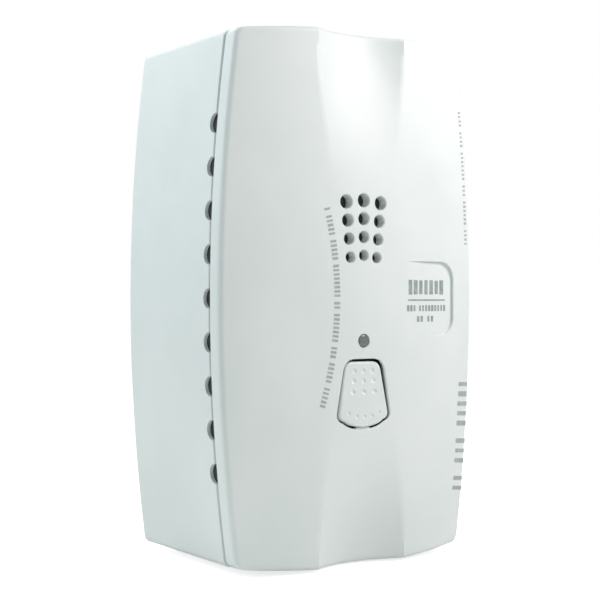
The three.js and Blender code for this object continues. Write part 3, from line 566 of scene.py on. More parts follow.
# %% [markdown]
# ## The circuit board
#
# A board is green because of the lacquer over its copper. The copper tracks show through it
# as lighter lines, mostly straight, with right-angled turns. They could be modelled, but
# they are only a few hundredths of a millimetre high. Two brick patterns of different sizes
# draw such lines well: the mortar between the bricks is the track.

# %% Board lacquer with tracks
board_green = new_finish(
    "board_lacquer", (24, 84, 52), (28, 94, 58), 0.36, patches=160,
    grain=5200, grain_depth=0.00001,
)


def tracks(tree, vector, scale, width, turn):
    """Thin straight lines with right-angled turns."""
    rotation = (math.radians(90), 0, math.radians(turn))
    mapping = add_node(tree, "ShaderNodeMapping", {"Vector": vector, "Rotation": rotation})
    inputs = {
        "Vector": mapping.outputs["Vector"], "Scale": scale, "Mortar Size": width,
        "Mortar Smooth": 0.1, "Brick Width": 0.62, "Row Height": 0.27,
    }
    bricks = add_node(
        tree, "ShaderNodeTexBrick", inputs, offset=0.37, squash=1.6, squash_frequency=3,
    )
    return bricks.outputs["Fac"]


board_tree = board_green.node_tree
board_vector = own_coordinates(board_tree)
both = add_node(board_tree, "ShaderNodeMath", {
    0: tracks(board_tree, board_vector, 90, 0.022, 0),
    1: tracks(board_tree, board_vector, 64, 0.03, 90),
}, operation="MAXIMUM")
lacquer = board_tree.nodes["Principled BSDF"].inputs["Base Color"].links[0].from_socket
over_copper = add_node(board_tree, "ShaderNodeMix", {
    "Factor": both.outputs[0], "A": lacquer, "B": shade(58, 142, 84),
}, data_type="RGBA")
set_shader(board_green, "Base Color", over_copper.outputs["Result"])
lay_under_grain(board_green, both.outputs[0], 0.00003)
set_shader(board_green, "Coat Weight", 0.3)
print("board finish:", board_green.name)

# %% [markdown]
# ## The moulded face
#
# The face is a barrel that falls away to both sides. At the top and the bottom a scoop is
# pressed into it, between two ridges that make an hourglass. All of it follows from a few
# rules: how wide the case is at a height, where the ridge runs, and how deep the face is at
# a point. Anything that lies on the face, such as the printing or the rim of an opening, can
# ask the same rules where the surface is.

# %% Rules of the face
COVER_START = 40.9
FACE_DEPTH = 49.85
FACE_FALL = 4.6
SIDE_ROUNDING = 1.2
END_ROUNDING = 1.0
RIDGE_MIDDLE = 6.2
RIDGE_END = 13.0
SCOOP_START = 20.0
SCOOP_DEPTH = 5.0
COVER_WALL = 2.7
RIM_SOFTENING = 0.35
SUPPORT = 0.25


def half_width_at(z):
    """Half the width of the case at a height."""
    return HALF_WIDTH - SIDE_BOW * (z / END_HALF_HEIGHT) ** 2


def ridge_at(z):
    """How far a ridge is from the middle: an hourglass."""
    turn = min(abs(z) / HALF_HEIGHT, 1) * math.pi
    return (RIDGE_MIDDLE + RIDGE_END) / 2 - (RIDGE_END - RIDGE_MIDDLE) / 2 * math.cos(turn)


def face_at(x, z):
    """The depth of the face's surface."""
    barrel = FACE_DEPTH - FACE_FALL * (x / half_width_at(z)) ** 2
    past = max(0, (abs(z) - SCOOP_START) / (HALF_HEIGHT - SCOOP_START))
    hollow = max(0, 1 - (x / ridge_at(z)) ** 2)
    return barrel - SCOOP_DEPTH * past ** 2 * hollow


print("face depth in the middle, at the side and at the top:",
      [round(face_at(*spot), 2) for spot in ((0, 0), (37, 0), (0, 64))])

# %% [markdown]
# ## A sheet that follows the rules
#
# The cover could be sculpted from a box with a subdivision surface, but the ridges would
# wander. Here a fine flat grid is laid over the case and each point is moved to its place.
# The columns are counted from the middle: first the scoop, so that one line of the grid runs
# exactly along the ridge, then the side panel, and last the rounded rim, where they stand
# closer together. In the corners the square grid is eased into the round outline.

# %% Lay a grid over the face
SCOOP_CELLS = 14
PANEL_CELLS = 20
SHOULDER_CELLS = 2
ROUND_CELLS = 5
LENGTH_CELLS = 50
ACROSS = SCOOP_CELLS + PANEL_CELLS + SHOULDER_CELLS + ROUND_CELLS
UPWARDS = LENGTH_CELLS + SHOULDER_CELLS + ROUND_CELLS


def rim_share(step, radius, corner):
    """How far inside the outline a rim station is. The last ones follow the rounding."""
    if step <= SHOULDER_CELLS:
        return corner - (corner - radius) * step / SHOULDER_CELLS
    turn = (step - SHOULDER_CELLS) / ROUND_CELLS * math.pi / 2
    return radius * (1 - math.sin(turn))


def column_inside(step, edge, ridge, radius, corner):
    """How far inside the side outline a column is."""
    if step <= SCOOP_CELLS:
        return edge - ridge * step / SCOOP_CELLS
    if step <= SCOOP_CELLS + PANEL_CELLS:
        share = (step - SCOOP_CELLS) / PANEL_CELLS
        return edge - (ridge + (edge - corner - ridge) * share)
    return rim_share(step - SCOOP_CELLS - PANEL_CELLS, radius, corner)


def row_inside(step, edge, radius, corner):
    """How far inside the end outline a row is."""
    if step <= LENGTH_CELLS:
        return edge - (edge - corner) * step / LENGTH_CELLS
    return rim_share(step - LENGTH_CELLS, radius, corner)


def eased_corner(inside_x, inside_z, corner):
    """Ease the square corner of the grid into a round one."""
    right = (corner - inside_x) / corner
    up = (corner - inside_z) / corner
    if right <= 0 or up <= 0:
        return inside_x, inside_z, min(inside_x, inside_z)
    reach = max(right, up)
    pull = reach / math.hypot(right, up)
    return corner * (1 - right * pull), corner * (1 - up * pull), corner * (1 - reach)


def laid_place(across, up, sunk, inset, side_radius, end_radius, corner):
    """Where a point of the grid goes."""
    edge_z = HALF_HEIGHT - inset
    inside_z = row_inside(abs(up), edge_z, max(end_radius, 0.01), corner)
    edge_x = half_width_at(edge_z - inside_z) - inset
    ridge = ridge_at(edge_z - inside_z)
    inside_x = column_inside(abs(across), edge_x, ridge, max(side_radius, 0.01), corner)
    inside_x, inside_z, inside = eased_corner(inside_x, inside_z, corner)
    x = math.copysign(edge_x - inside_x, across)
    crown = END_CROWN * (x / END_HALF_WIDTH) ** 2 / HALF_HEIGHT
    z = math.copysign(edge_z - inside_z, up) * (1 - crown)
    by_side = inside_z >= inside_x
    radius = side_radius if by_side else end_radius
    left = max(radius - inside, 0)
    fall = radius - math.sqrt(max(radius ** 2 - left ** 2, 0)) if radius else 0
    return at(x, z, face_at(x, z) - sunk - fall)


def face_sheet(bm, sunk, inset, side_radius, end_radius, corner, soften=0):
    """Lay a sheet, turn its rim back to the parting line, and give the rim's edges."""
    grid = bmesh.ops.create_grid(bm, x_segments=2 * ACROSS, y_segments=2 * UPWARDS, size=1)
    for vert in grid["verts"]:
        across = round(vert.co.x * ACROSS)
        up = round(vert.co.y * UPWARDS)
        vert.co = laid_place(across, up, sunk, inset, side_radius, end_radius, corner)
    laid = set(grid["verts"])
    rim = [edge for edge in bm.edges if edge.is_boundary and edge.verts[0] in laid]
    depths = (COVER_START + soften + SUPPORT, COVER_START + soften) if soften else (COVER_START,)
    edges = rim
    for depth in depths:
        back = bmesh.ops.extrude_edge_only(bm, edges=edges)["geom"]
        for item in back:
            if isinstance(item, bmesh.types.BMVert):
                item.co.y = -depth
        edges = [
            item for item in back if isinstance(item, bmesh.types.BMEdge) and item.is_boundary
        ]
    if not soften:
        return edges
    last = bmesh.ops.extrude_edge_only(bm, edges=edges)["geom"]
    for item in last:
        if isinstance(item, bmesh.types.BMVert):
            item.co.x *= 1 - soften / HALF_WIDTH
            item.co.z *= 1 - soften / HALF_HEIGHT
            item.co.y = -COVER_START
    return [item for item in last if isinstance(item, bmesh.types.BMEdge) and item.is_boundary]


cover = bmesh.new()
outer_rim = face_sheet(cover, 0, 0, SIDE_ROUNDING, END_ROUNDING, CORNER_RADIUS, RIM_SOFTENING)
inner_rim = face_sheet(cover, COVER_WALL, COVER_WALL, 0, 0, CORNER_RADIUS / 2)
bmesh.ops.bridge_loops(cover, edges=outer_rim + inner_rim)
print("cover shell:", len(cover.faces), "faces")

# %% [markdown]
# ## Openings in the cover
#
# The face has twelve sounder holes, a hole for the light pipe, the opening round the test
# button and a shallow recess for a label. Insets in the grid would spoil its even lines, so a
# Boolean cuts them all. Each tool flares out a little where it meets the surface, which leaves
# the small chamfer that catches the light on a real moulding.

# %% Tools for the openings
TOOL_START = COVER_START + 0.8
CHAMFER = 0.22
CLEAR = 1.2
HOLE_SIDES = 28


def opening(points, bm=None, chamfer=CHAMFER):
    """A tool with a flared mouth that follows the face."""
    rings = [
        level(points, TOOL_START),
        level(points, lambda x, z: face_at(x, z) - chamfer),
        level(grown(points, chamfer), lambda x, z: face_at(x, z) + 0.01),
        level(grown(points, chamfer + CLEAR), lambda x, z: face_at(x, z) + CLEAR),
    ]
    return stacked(rings, bm)


GRILLE_ROWS = [(9.95, 1.35, 4.0), (14.43, 1.475, 4.4), (18.91, 1.6, 4.8), (23.39, 1.725, 5.2)]
GRILLE_ARCH = 0.5
grille_tool = bmesh.new()
for row_z, radius, apart in GRILLE_ROWS:
    for side in (-1, 0, 1):
        lift = GRILLE_ARCH if side == 0 else 0
        opening(arc(side * apart, row_z + lift, radius, 0, math.tau, HOLE_SIDES), grille_tool)

LIGHT_Z = -10.4
PIPE_RADIUS = 1.525
PIPE_HOLE = 1.675
light_tool = opening(arc(0, LIGHT_Z, PIPE_HOLE, 0, math.tau, HOLE_SIDES), chamfer=0.15)
print("grille holes:", 3 * len(GRILLE_ROWS))

# %% [markdown]
# ## The button's opening
#
# The test button is a keystone with straight flanks, round corners and a bowed lower edge. A
# scaled box could not keep all three, so its outline is a few bends joined by lines. The
# opening is the same outline, grown by the gap. It flares out behind the face, so that the
# gap looks dark.

# %% Outline of the test button
BUTTON_TOP = -15.4
BUTTON_CORNERS = -29.5
BUTTON_BOTTOM = -31.4
BUTTON_TOP_HALF = 5.2
BUTTON_BOTTOM_HALF = 7.7
BUTTON_GAP = 0.6


def bend(start, control, stop, steps):
    """Points along a bend between two lines, with its last point."""
    points = []
    for i in range(steps + 1):
        t = i / steps
        points.append(tuple(
            (1 - t) ** 2 * a + 2 * t * (1 - t) * b + t ** 2 * c
            for a, b, c in zip(start, control, stop)
        ))
    return points


def button_outline(corner=1.8, top_corner=2.4, steps=7):
    """A keystone with straight flanks, round corners and a bowed lower edge."""
    lean = (BUTTON_BOTTOM_HALF - BUTTON_TOP_HALF) / (BUTTON_TOP - BUTTON_CORNERS)
    low = BUTTON_CORNERS - 0.3
    right = [
        *bend((0, BUTTON_BOTTOM), (BUTTON_BOTTOM_HALF * 0.55, BUTTON_BOTTOM + 0.1),
              (BUTTON_BOTTOM_HALF - corner, low), 9)[:-1],
        *bend((BUTTON_BOTTOM_HALF - corner, low), (BUTTON_BOTTOM_HALF, BUTTON_CORNERS + 0.1),
              (BUTTON_BOTTOM_HALF - lean * corner, BUTTON_CORNERS + corner), steps),
        *bend((BUTTON_TOP_HALF + lean * top_corner, BUTTON_TOP - top_corner),
              (BUTTON_TOP_HALF, BUTTON_TOP), (BUTTON_TOP_HALF - top_corner, BUTTON_TOP), steps),
    ]
    left = [(-x, z) for x, z in reversed(right[1:])]
    return right + left


BUTTON_SHIFT = 0.15
BUTTON_FLARE = 1.6
opening_outline = [(x + BUTTON_SHIFT, z) for x, z in button_outline()]
button_tool = stacked([
    level(grown(opening_outline, BUTTON_GAP + BUTTON_FLARE), FACE_DEPTH - 4),
    level(grown(opening_outline, BUTTON_GAP), lambda x, z: face_at(x, z) - 0.5),
    level(grown(opening_outline, BUTTON_GAP), lambda x, z: face_at(x, z) - CHAMFER),
    level(grown(opening_outline, BUTTON_GAP + CHAMFER), lambda x, z: face_at(x, z) + 0.01),
    level(grown(opening_outline, BUTTON_GAP + 1.4), lambda x, z: face_at(x, z) + 1.2),
])
print("button outline:", len(button_outline()), "points")

# %% [markdown]
# ## The label recess
#
# The floor of the recess is flat, while the face round it is curved. So it starts flush with
# the face on its left and grows deeper to the right. A pushed-in patch of the grid would stay
# curved, and a flat-bottomed tool does not.

# %% Tool for the label recess
RECESS_LEFT = 14.0
RECESS_RIGHT = 31.0
RECESS_TOP = 9.3
RECESS_BOTTOM = -9.3
RECESS_DEPTH = 0.8
RECESS_MIDDLE = (RECESS_TOP + RECESS_BOTTOM) / 2
RECESS_START = face_at(RECESS_LEFT, RECESS_MIDDLE)
RECESS_FALL = (
    RECESS_START - face_at(RECESS_RIGHT, RECESS_MIDDLE) + RECESS_DEPTH
) / (RECESS_RIGHT - RECESS_LEFT)


def recess_floor(x, z):
    """The flat floor of the recess, which falls to the right."""
    return RECESS_START - RECESS_FALL * (x - RECESS_LEFT)


RECESS_CORNER = 4.5
RECESS_DRAFT = 0.15
recess_outline = round_rectangle(
    RECESS_LEFT, RECESS_MIDDLE, 2 * (RECESS_RIGHT - RECESS_LEFT), RECESS_TOP - RECESS_BOTTOM,
    RECESS_CORNER, 8,
)
recess_outline = [(x, z) for x, z in recess_outline if x > RECESS_LEFT]
recess_outline += [(RECESS_LEFT - 1.5, RECESS_TOP), (RECESS_LEFT - 1.5, RECESS_BOTTOM)]
recess_tool = stacked([
    level(recess_outline, recess_floor),
    level(grown(recess_outline, RECESS_DRAFT), lambda x, z: recess_floor(x, z) + RECESS_DEPTH),
    level(grown(recess_outline, RECESS_DRAFT), lambda x, z: recess_floor(x, z) + 4),
])
print("recess falls", round(RECESS_FALL, 3), "mm for each mm to the right")

# %% [markdown]
# ## Tongue, ledge and hooks
#
# Behind the parting line the cover has a thin tongue that slips inside the base's walls, and
# a ledge that carries it. The tongue is open at every air vent. Two flat hooks at the top
# curl round bars in the base, and the cover swings on them. A hook is part of a ring, so it
# is drawn as a sector about the hinge line and pulled to its width.

# %% Joining parts on the back of the cover
TONGUE_OUTSIDE = 2.85
TONGUE_INSIDE = 4.15
TONGUE_END = 37.5
TONGUE_CLEARANCE = 0.35
OVERLAP = 0.06
LEDGE_TOP = COVER_START + 1.6
VENT_COUNT = 9
VENT_PITCH = 10.3
VENT_RADIUS = 2.4
VENT_SKIN = 0.9
VENT_RELIEF = 1.2
HOOK_PLACES = (-16, 16)
HOOK_HALF = 3.5
BAR_RADIUS = 2.3
HOOK_CLEARANCE = 0.3
HOOK_THICKNESS = 1.6
HINGE = (HALF_HEIGHT, BASE_DEPTH)
vent_places = [(i - (VENT_COUNT - 1) / 2) * VENT_PITCH for i in range(VENT_COUNT)]


def ring_wall(outer, inner, start, stop):
    """A wall between two insets of the outline."""
    made = through(case_outline(outer), start, stop)
    hollow = through(case_outline(inner), start - 1, stop + 1)
    return carved(made, ("DIFFERENCE", hollow))


def hinge_sector(inner, outer, start, stop, x0, x1, bm=None):
    """Part of a ring round the hinge line. Angles are from straight down towards the wall."""
    steps = 14
    turns = [math.radians(start + (stop - start) * i / steps) for i in range(steps + 1)]
    profile = [(outer, turn) for turn in turns] + [(inner, turn) for turn in reversed(turns)]
    up, out = HINGE
    rings = [
        [
            at(x, up - radius * math.cos(turn), out - radius * math.sin(turn))
            for radius, turn in profile
        ]
        for x in (x0, x1)
    ]
    return stacked(rings, bm)


tongue = ring_wall(TONGUE_OUTSIDE, TONGUE_INSIDE, TONGUE_END, LEDGE_TOP)
gaps = bmesh.new()
for vent_z in vent_places:
    reach = VENT_RADIUS + TONGUE_CLEARANCE
    soft_block(-40, 40, vent_z - reach, vent_z + reach, 30, COVER_START + 0.4, 0, bm=gaps)
for place in HOOK_PLACES:
    reach = HOOK_HALF + 2 * HOOK_CLEARANCE
    soft_block(place - reach, place + reach, 55, 70, 30, COVER_START + 0.1, 0, bm=gaps)
tongue = carved(tongue, ("DIFFERENCE", gaps))
ledge = ring_wall(COVER_WALL / 2, TONGUE_INSIDE + OVERLAP, COVER_START + OVERLAP, LEDGE_TOP + 0.1)
hooks = bmesh.new()
for place in HOOK_PLACES:
    inner = BAR_RADIUS + HOOK_CLEARANCE
    outer = inner + HOOK_THICKNESS
    hinge_sector(inner, outer, -35, 48, place - HOOK_HALF, place + HOOK_HALF, hooks)
crest = through(case_outline(COVER_WALL / 2), 1, FACE_DEPTH)
hooks = carved(hooks, ("INTERSECT", crest))
print("hooks:", len(hooks.faces), "faces")

# %% [markdown]
# ## Sleeve and assembly
#
# A short sleeve behind the face holds the light pipe. It and all the other shapes become one
# moulding here. They could stay separate meshes that overlap, but then every corner between
# them would show a hard line. The order matters: first what is joined, then what is cut, and
# last the thin web on which the button bends.

# %% Sleeve for the light pipe
PIPE_SLEEVE = 3.7
PIPE_FLANGE = 2.7
PIPE_FIT = 0.15
SLEEVE_LENGTH = 2.5
face_inside = face_at(0, LIGHT_Z) - COVER_WALL
sleeve = turned(
    [(0, -SLEEVE_LENGTH), (PIPE_SLEEVE, -SLEEVE_LENGTH), (PIPE_SLEEVE, COVER_WALL / 2),
     (0, COVER_WALL / 2)],
    z=LIGHT_Z, base=face_inside,
)
sleeve_bore = turned(
    [(0, -3), (PIPE_FLANGE + PIPE_FIT, -3), (PIPE_FLANGE + PIPE_FIT, PIPE_FIT), (0, PIPE_FIT)],
    z=LIGHT_Z, base=face_inside,
)
print("sleeve behind the face at", round(face_inside, 2), "mm")

# %% Put the cover together
HINGE_WEB_HALF = 2.1
web_front = face_at(0, BUTTON_BOTTOM) - 0.12
hinge_web = soft_block(
    -HINGE_WEB_HALF, HINGE_WEB_HALF, BUTTON_BOTTOM - BUTTON_GAP - 1.5, BUTTON_BOTTOM - 0.06,
    web_front - 1.2, web_front, 0.1,
)
cover = carved(
    cover,
    ("UNION", ledge), ("UNION", tongue), ("UNION", hooks), ("UNION", sleeve),
    ("DIFFERENCE", sleeve_bore), ("DIFFERENCE", grille_tool), ("DIFFERENCE", light_tool),
    ("DIFFERENCE", button_tool), ("DIFFERENCE", recess_tool), ("UNION", hinge_web),
)
finish_piece("front_cover_shell", cover, "cover", case_white, ("front_cover",))

# %% [markdown]
# ## The test button
#
# The button is a rounded keystone that rocks on its lower edge. It stands a little proud of
# the face there, and leans in towards its top edge. A subdivided box would lose the straight
# flanks, so it is built from rings: the outline at the back, rings round the edge, and then
# rings that shrink towards the middle at the depth that the face's barrel has there. Nine
# shallow dimples give the finger some grip, and five small ones follow the lower edge.

# %% Make the test button
BUTTON_PROUD = 0.3
BUTTON_THICKNESS = 2.6
STEM_Z = -20.4
STEM_END = 36.5
button_front = face_at(0, STEM_Z) + BUTTON_PROUD
BUTTON_LEAN = 0.75
button_middle = (0, -23.5)


def button_surface(x, z):
    """The button's top: the face's own barrel, a touch flatter, lower towards its top edge."""
    lean = BUTTON_LEAN * (z - BUTTON_BOTTOM) / (BUTTON_TOP - BUTTON_BOTTOM)
    return button_front - 0.8 * (face_at(0, STEM_Z) - face_at(x, STEM_Z)) - lean


def shrunk(points, share):
    """An outline drawn in towards the button's middle."""
    return [
        (button_middle[0] + (x - button_middle[0]) * share,
         button_middle[1] + (z - button_middle[1]) * share)
        for x, z in points
    ]


outline = button_outline()
rings = [
    level(grown(outline, -0.3), button_front - BUTTON_THICKNESS),
    level(outline, button_front - BUTTON_THICKNESS + 0.3),
]
EDGE_ROUNDING = 0.55
for step in range(6):
    turn = step / 5 * math.pi / 2
    drop = EDGE_ROUNDING * (1 - math.sin(turn))
    rings.append(level(
        grown(outline, -EDGE_ROUNDING * (1 - math.cos(turn))),
        lambda x, z, drop=drop: button_surface(x, z) - drop,
    ))
for share in (0.88, 0.8, 0.7, 0.58, 0.44, 0.3, 0.15):
    rings.append(level(shrunk(outline, share), button_surface))
button = stacked(rings)

DIMPLE_RADIUS = 1.1
DIMPLE_SINK = 0.26
DOT_RADIUS = 0.85
DOT_LIFT = 0.65
dimples = bmesh.new()
for dimple_z, apart in [(-17.7, 2.7), (-20.1, 3.0), (-22.8, 3.3)]:
    for side in (-1, 0, 1):
        x = side * apart
        middle = at(x, dimple_z, button_surface(x, dimple_z) + DIMPLE_RADIUS - DIMPLE_SINK)
        bmesh.ops.create_icosphere(
            dimples, subdivisions=3, radius=DIMPLE_RADIUS, matrix=Matrix.Translation(middle),
        )
for step in range(5):
    share = (step - 2) / 2
    x = share * 4.6
    z = -28.9 + 0.9 * abs(share) ** 2
    middle = at(x, z, button_surface(x, z) + DOT_LIFT)
    bmesh.ops.create_icosphere(
        dimples, subdivisions=3, radius=DOT_RADIUS, matrix=Matrix.Translation(middle),
    )
stem_root = button_front - BUTTON_THICKNESS + 0.5
stem = turned([(0, STEM_END), (1.5, STEM_END), (2.2, stem_root), (0, stem_root)], z=STEM_Z)
button = carved(button, ("UNION", stem), ("DIFFERENCE", dimples))
finish_piece("test_button_cap", button, "button", button_white, ("test_button",), 22)

# %% [markdown]
# ## The rear base
#
# The base is a deep tray. Its outline goes straight back from the parting line, with a fine
# rounding at the rim and at the wall. Nine half-round notches in the rim on each side let the
# air in. Inside are four posts for the board, two pads with slots for the wall screws, and
# an opening for the wires. The tray is stacked from outlines, and the notches and openings
# are cut by Boolean tools, as on the cover.

# %% Make the tray
GANG_HALF = 41.65
tray = stacked([
    level(case_outline(1.2), 0),
    level(case_outline(0.5), 0),
    level(case_outline(0.15), 0.15),
    level(case_outline(0), 0.5),
    level(case_outline(0), 0.9),
    level(case_outline(0), BASE_DEPTH - VENT_RADIUS - 0.6),
    level(case_outline(0), BASE_DEPTH - RIM_SOFTENING - SUPPORT),
    level(case_outline(0), BASE_DEPTH - RIM_SOFTENING),
    level(case_outline(0.09), BASE_DEPTH - 0.09),
    level(case_outline(RIM_SOFTENING), BASE_DEPTH),
    level(case_outline(WALL), BASE_DEPTH),
    level(case_outline(WALL), WALL),
])
BOARD_SCREWS = [(-24.0, 52.4), (24.0, 52.4), (-21.3, -32.55), (21.3, -32.55)]
BOARD_BACK = 29.4
BOARD_FRONT = 31.0
POST_RADIUS = 4.0
POST_TOP_RADIUS = 3.2
PAD_RADIUS = 7.5
PAD_TOP = 3.3
posts = bmesh.new()
for x, z in BOARD_SCREWS:
    turned([(0, WALL / 2), (POST_RADIUS, WALL / 2), (POST_RADIUS, WALL), (3.95, 2.8),
            (3.5, BOARD_BACK - 0.3), (POST_TOP_RADIUS, BOARD_BACK), (0, BOARD_BACK)],
           x, z, bm=posts)
for z in (-GANG_HALF, GANG_HALF):
    turned([(0, WALL / 2), (PAD_RADIUS, WALL / 2), (PAD_RADIUS, 3.1), (7.3, PAD_TOP),
            (0, PAD_TOP)], z=z, sides=56, bm=posts)
print("tray:", len(tray.faces), "faces")

# %% [markdown]
# ## Vents, slots and openings in the base
#
# The vents are half-round because each is a rod laid across the parting line. A wider rod
# behind it thins the wall there, as the mould does. Pockets beside the hinge bars let the
# cover's hooks turn.

# %% Cut the vents, slots and openings
SCREW_HOLE = 1.6
SCREW_HOLE_START = 20.4
SLOT_WIDTH = 9
SLOT_HEIGHT = 4.4
WIRE_Z = -23
WIRE_WIDTH = 34
WIRE_HEIGHT = 22
NOTCH_HALF = 4.5
NOTCH_DEPTH = 1.4
cuts = bmesh.new()
for x, z in BOARD_SCREWS:
    turned([(0, SCREW_HOLE_START), (SCREW_HOLE, SCREW_HOLE_START), (SCREW_HOLE, BOARD_FRONT),
            (0, BOARD_FRONT)], x, z, sides=20, bm=cuts)
for z in (-GANG_HALF, GANG_HALF):
    poured(through(round_rectangle(0, z, SLOT_WIDTH, SLOT_HEIGHT, 2.19, 8), -1, 5), cuts)
poured(through(round_rectangle(0, WIRE_Z, WIRE_WIDTH, WIRE_HEIGHT, 4, 8), -1, 4), cuts)
soft_block(
    -NOTCH_HALF, NOTCH_HALF, -70, -60.3, BASE_DEPTH - NOTCH_DEPTH, BASE_DEPTH + 1, 0, bm=cuts,
)


def vent_rod(vent_z, radius, x0, x1, bm):
    """A rod through a vent, from one place across to another."""
    circle = arc(0, 0, radius, 0, math.tau, 32)
    stacked([[at(x, vent_z + b, BASE_DEPTH + a) for a, b in circle] for x in (x0, x1)], bm)


PAST_WALL = 39.5
RELIEF_HALF = 39
vents = bmesh.new()
for vent_z in vent_places:
    for side in (-1, 1):
        vent_rod(vent_z, VENT_RADIUS, side * 29, side * PAST_WALL, vents)

pockets = bmesh.new()
reach = BAR_RADIUS + HOOK_THICKNESS + 2 * HOOK_CLEARANCE
for place in HOOK_PLACES:
    half = HOOK_HALF + HOOK_CLEARANCE
    hinge_sector(BAR_RADIUS, reach, -35, 90, place - half, place + half, pockets)
skin = through(case_outline(0.8), WALL, BASE_DEPTH + 1)
pockets = carved(pockets, ("INTERSECT", skin))
reliefs = bmesh.new()
for vent_z in vent_places:
    vent_rod(vent_z, VENT_RADIUS + VENT_RELIEF, -RELIEF_HALF, RELIEF_HALF, reliefs)
vent_skin = through(case_outline(VENT_SKIN), WALL, BASE_DEPTH + 1)
reliefs = carved(reliefs, ("INTERSECT", vent_skin))
tray = carved(
    tray,
    ("UNION", posts), ("DIFFERENCE", cuts), ("DIFFERENCE", vents), ("DIFFERENCE", reliefs),
    ("DIFFERENCE", pockets),
)
finish_piece("rear_base_tray", tray, "base", case_white, ("rear_base",))

# %% [markdown]
# ## Painted shade in the vents
#
# Looking into a vent shows something dark. That darkness is shade, painted here by a small
# dark pad of the foam finish in the thinned part of the wall. Each pad is the rod that thinned the
# wall, made a little smaller, and kept only where it lies inside a ring of the case's outline.

# %% Fit the dark pads that paint the shade in the vents
PAD_FIT = 0.05
vent_shade_rods = bmesh.new()
for vent_z in vent_places:
    vent_rod(vent_z, VENT_RADIUS + VENT_RELIEF - PAD_FIT, -RELIEF_HALF, RELIEF_HALF, vent_shade_rods)
vent_shade_room = ring_wall(VENT_SKIN + PAD_FIT, WALL - PAD_FIT, 30, BASE_DEPTH - 2 * PAD_FIT)
vent_shade_pads = carved(vent_shade_rods, ("INTERSECT", vent_shade_room))
# These pads are painted shade: dark foam where the vents would only be in shade.
finish_piece("vent_painted_shade_pads", vent_shade_pads, "base", foam_and_vent_shade_grey)

# %% [markdown]
# ## Light pipe
#
# The small grey dot above the button is the end of a clear rod. It carries the light from
# the board to the face. Its front is a low dome, its flange sits in the sleeve behind the
# face, and its far end stops just short of the status light.

# %% Turn the light pipe
pipe_front = face_at(0, LIGHT_Z)
pipe = turned(
    [
        (0, 36.3), (1.35, 36.3), (PIPE_RADIUS, 36.5), (PIPE_RADIUS, face_inside - 1.0),
        (PIPE_FLANGE - 0.15, face_inside - 1.0), (PIPE_FLANGE, face_inside - 0.85),
        (PIPE_FLANGE, face_inside), (PIPE_RADIUS, face_inside), (PIPE_RADIUS, pipe_front - 0.35),
        (1.45, pipe_front - 0.18), (1.2, pipe_front - 0.06), (0.75, pipe_front + 0.01),
        (0, pipe_front + 0.04),
    ],
    z=LIGHT_Z,
)
finish_piece("light_pipe_rod", pipe, "cover", pipe_grey, ("led_light_pipe",), 40)

# %% [markdown]
# ## Screen behind the grille
#
# A piece of woven cloth is glued behind the sounder holes, so that dust stays out and the
# sound gets through. It follows the inside of the face, so it is one outline between two
# depths that both ask the rules of the face. Its weave is a pair of crossed waves.

# %% Lay the grille screen
screen_finish = new_finish(
    "woven_screen", (52, 56, 56), (70, 74, 74), 0.8, patches=1500, grain=5200,
    grain_depth=0.00003,
)
screen_tree = screen_finish.node_tree
screen_vector = own_coordinates(screen_tree)
threads = add_node(screen_tree, "ShaderNodeMath", {}, operation="MAXIMUM")
for index, direction in enumerate(("X", "Z")):
    inputs = {"Vector": screen_vector, "Scale": 520}
    wave = add_node(screen_tree, "ShaderNodeTexWave", inputs, bands_direction=direction)
    fill(threads, index, wave.outputs["Fac"])
lay_under_grain(screen_finish, threads.outputs[0], 0.00015)
SCREEN_GAP = 0.04
SCREEN_THICKNESS = 0.3
screen_outline = round_rectangle(0, 16.9, 14.6, 19.4, 2.0, 5)
screen = stacked([
    level(screen_outline, lambda x, z: face_at(x, z) - COVER_WALL - SCREEN_GAP - SCREEN_THICKNESS),
    level(screen_outline, lambda x, z: face_at(x, z) - COVER_WALL - SCREEN_GAP),
])
finish_piece("grille_screen", screen, "cover", screen_finish)

# %% [markdown]
# ## Printing
#
# The face carries some printed lines. Here they are only plain marks, with no letters: rows
# of small upright blocks stand where words would be. A decal picture would be the usual way.
# Thin blocks that follow the face need no picture, and they keep their place when the cover
# swings. Every corner of a block asks the rules of the face how deep it is.

# %% Print rows of plain marks
INK = 0.05
WORD_GAP = 0.8
random.seed(7)


def mark(x, z, lean, width, height, surface, bm):
    """One plain block of ink, with its long side turned to lean."""
    along = Vector((math.cos(lean), math.sin(lean)))
    upright = Vector((-along.y, along.x))
    corners = [
        tuple(Vector((x, z)) + along * right * width / 2 + upright * up * height / 2)
        for right, up in ((-1, -1), (1, -1), (1, 1), (-1, 1))
    ]
    stacked([
        level(corners, lambda a, b: surface(a, b) - INK),
        level(corners, lambda a, b: surface(a, b) + INK),
    ], bm)


def row_of_marks(path, start, stop, height, mark_width, gap, words, surface, bm):
    """Marks along a path, which gives a point for each distance, in words of set lengths."""
    here = start
    count = 0
    word = 0
    step = mark_width + gap
    while here + mark_width <= stop:
        if count == words[word % len(words)]:
            here += step * WORD_GAP
            word += 1
            count = 0
            continue
        x, z = path(here + mark_width / 2)
        ahead_x, ahead_z = path(here + mark_width / 2 + 0.1)
        lean = math.atan2(ahead_z - z, ahead_x - x)
        width = mark_width * random.uniform(0.75, 1.05)
        mark(x, z, lean, width, height * random.uniform(0.9, 1.0), surface, bm)
        here += step
        count += 1


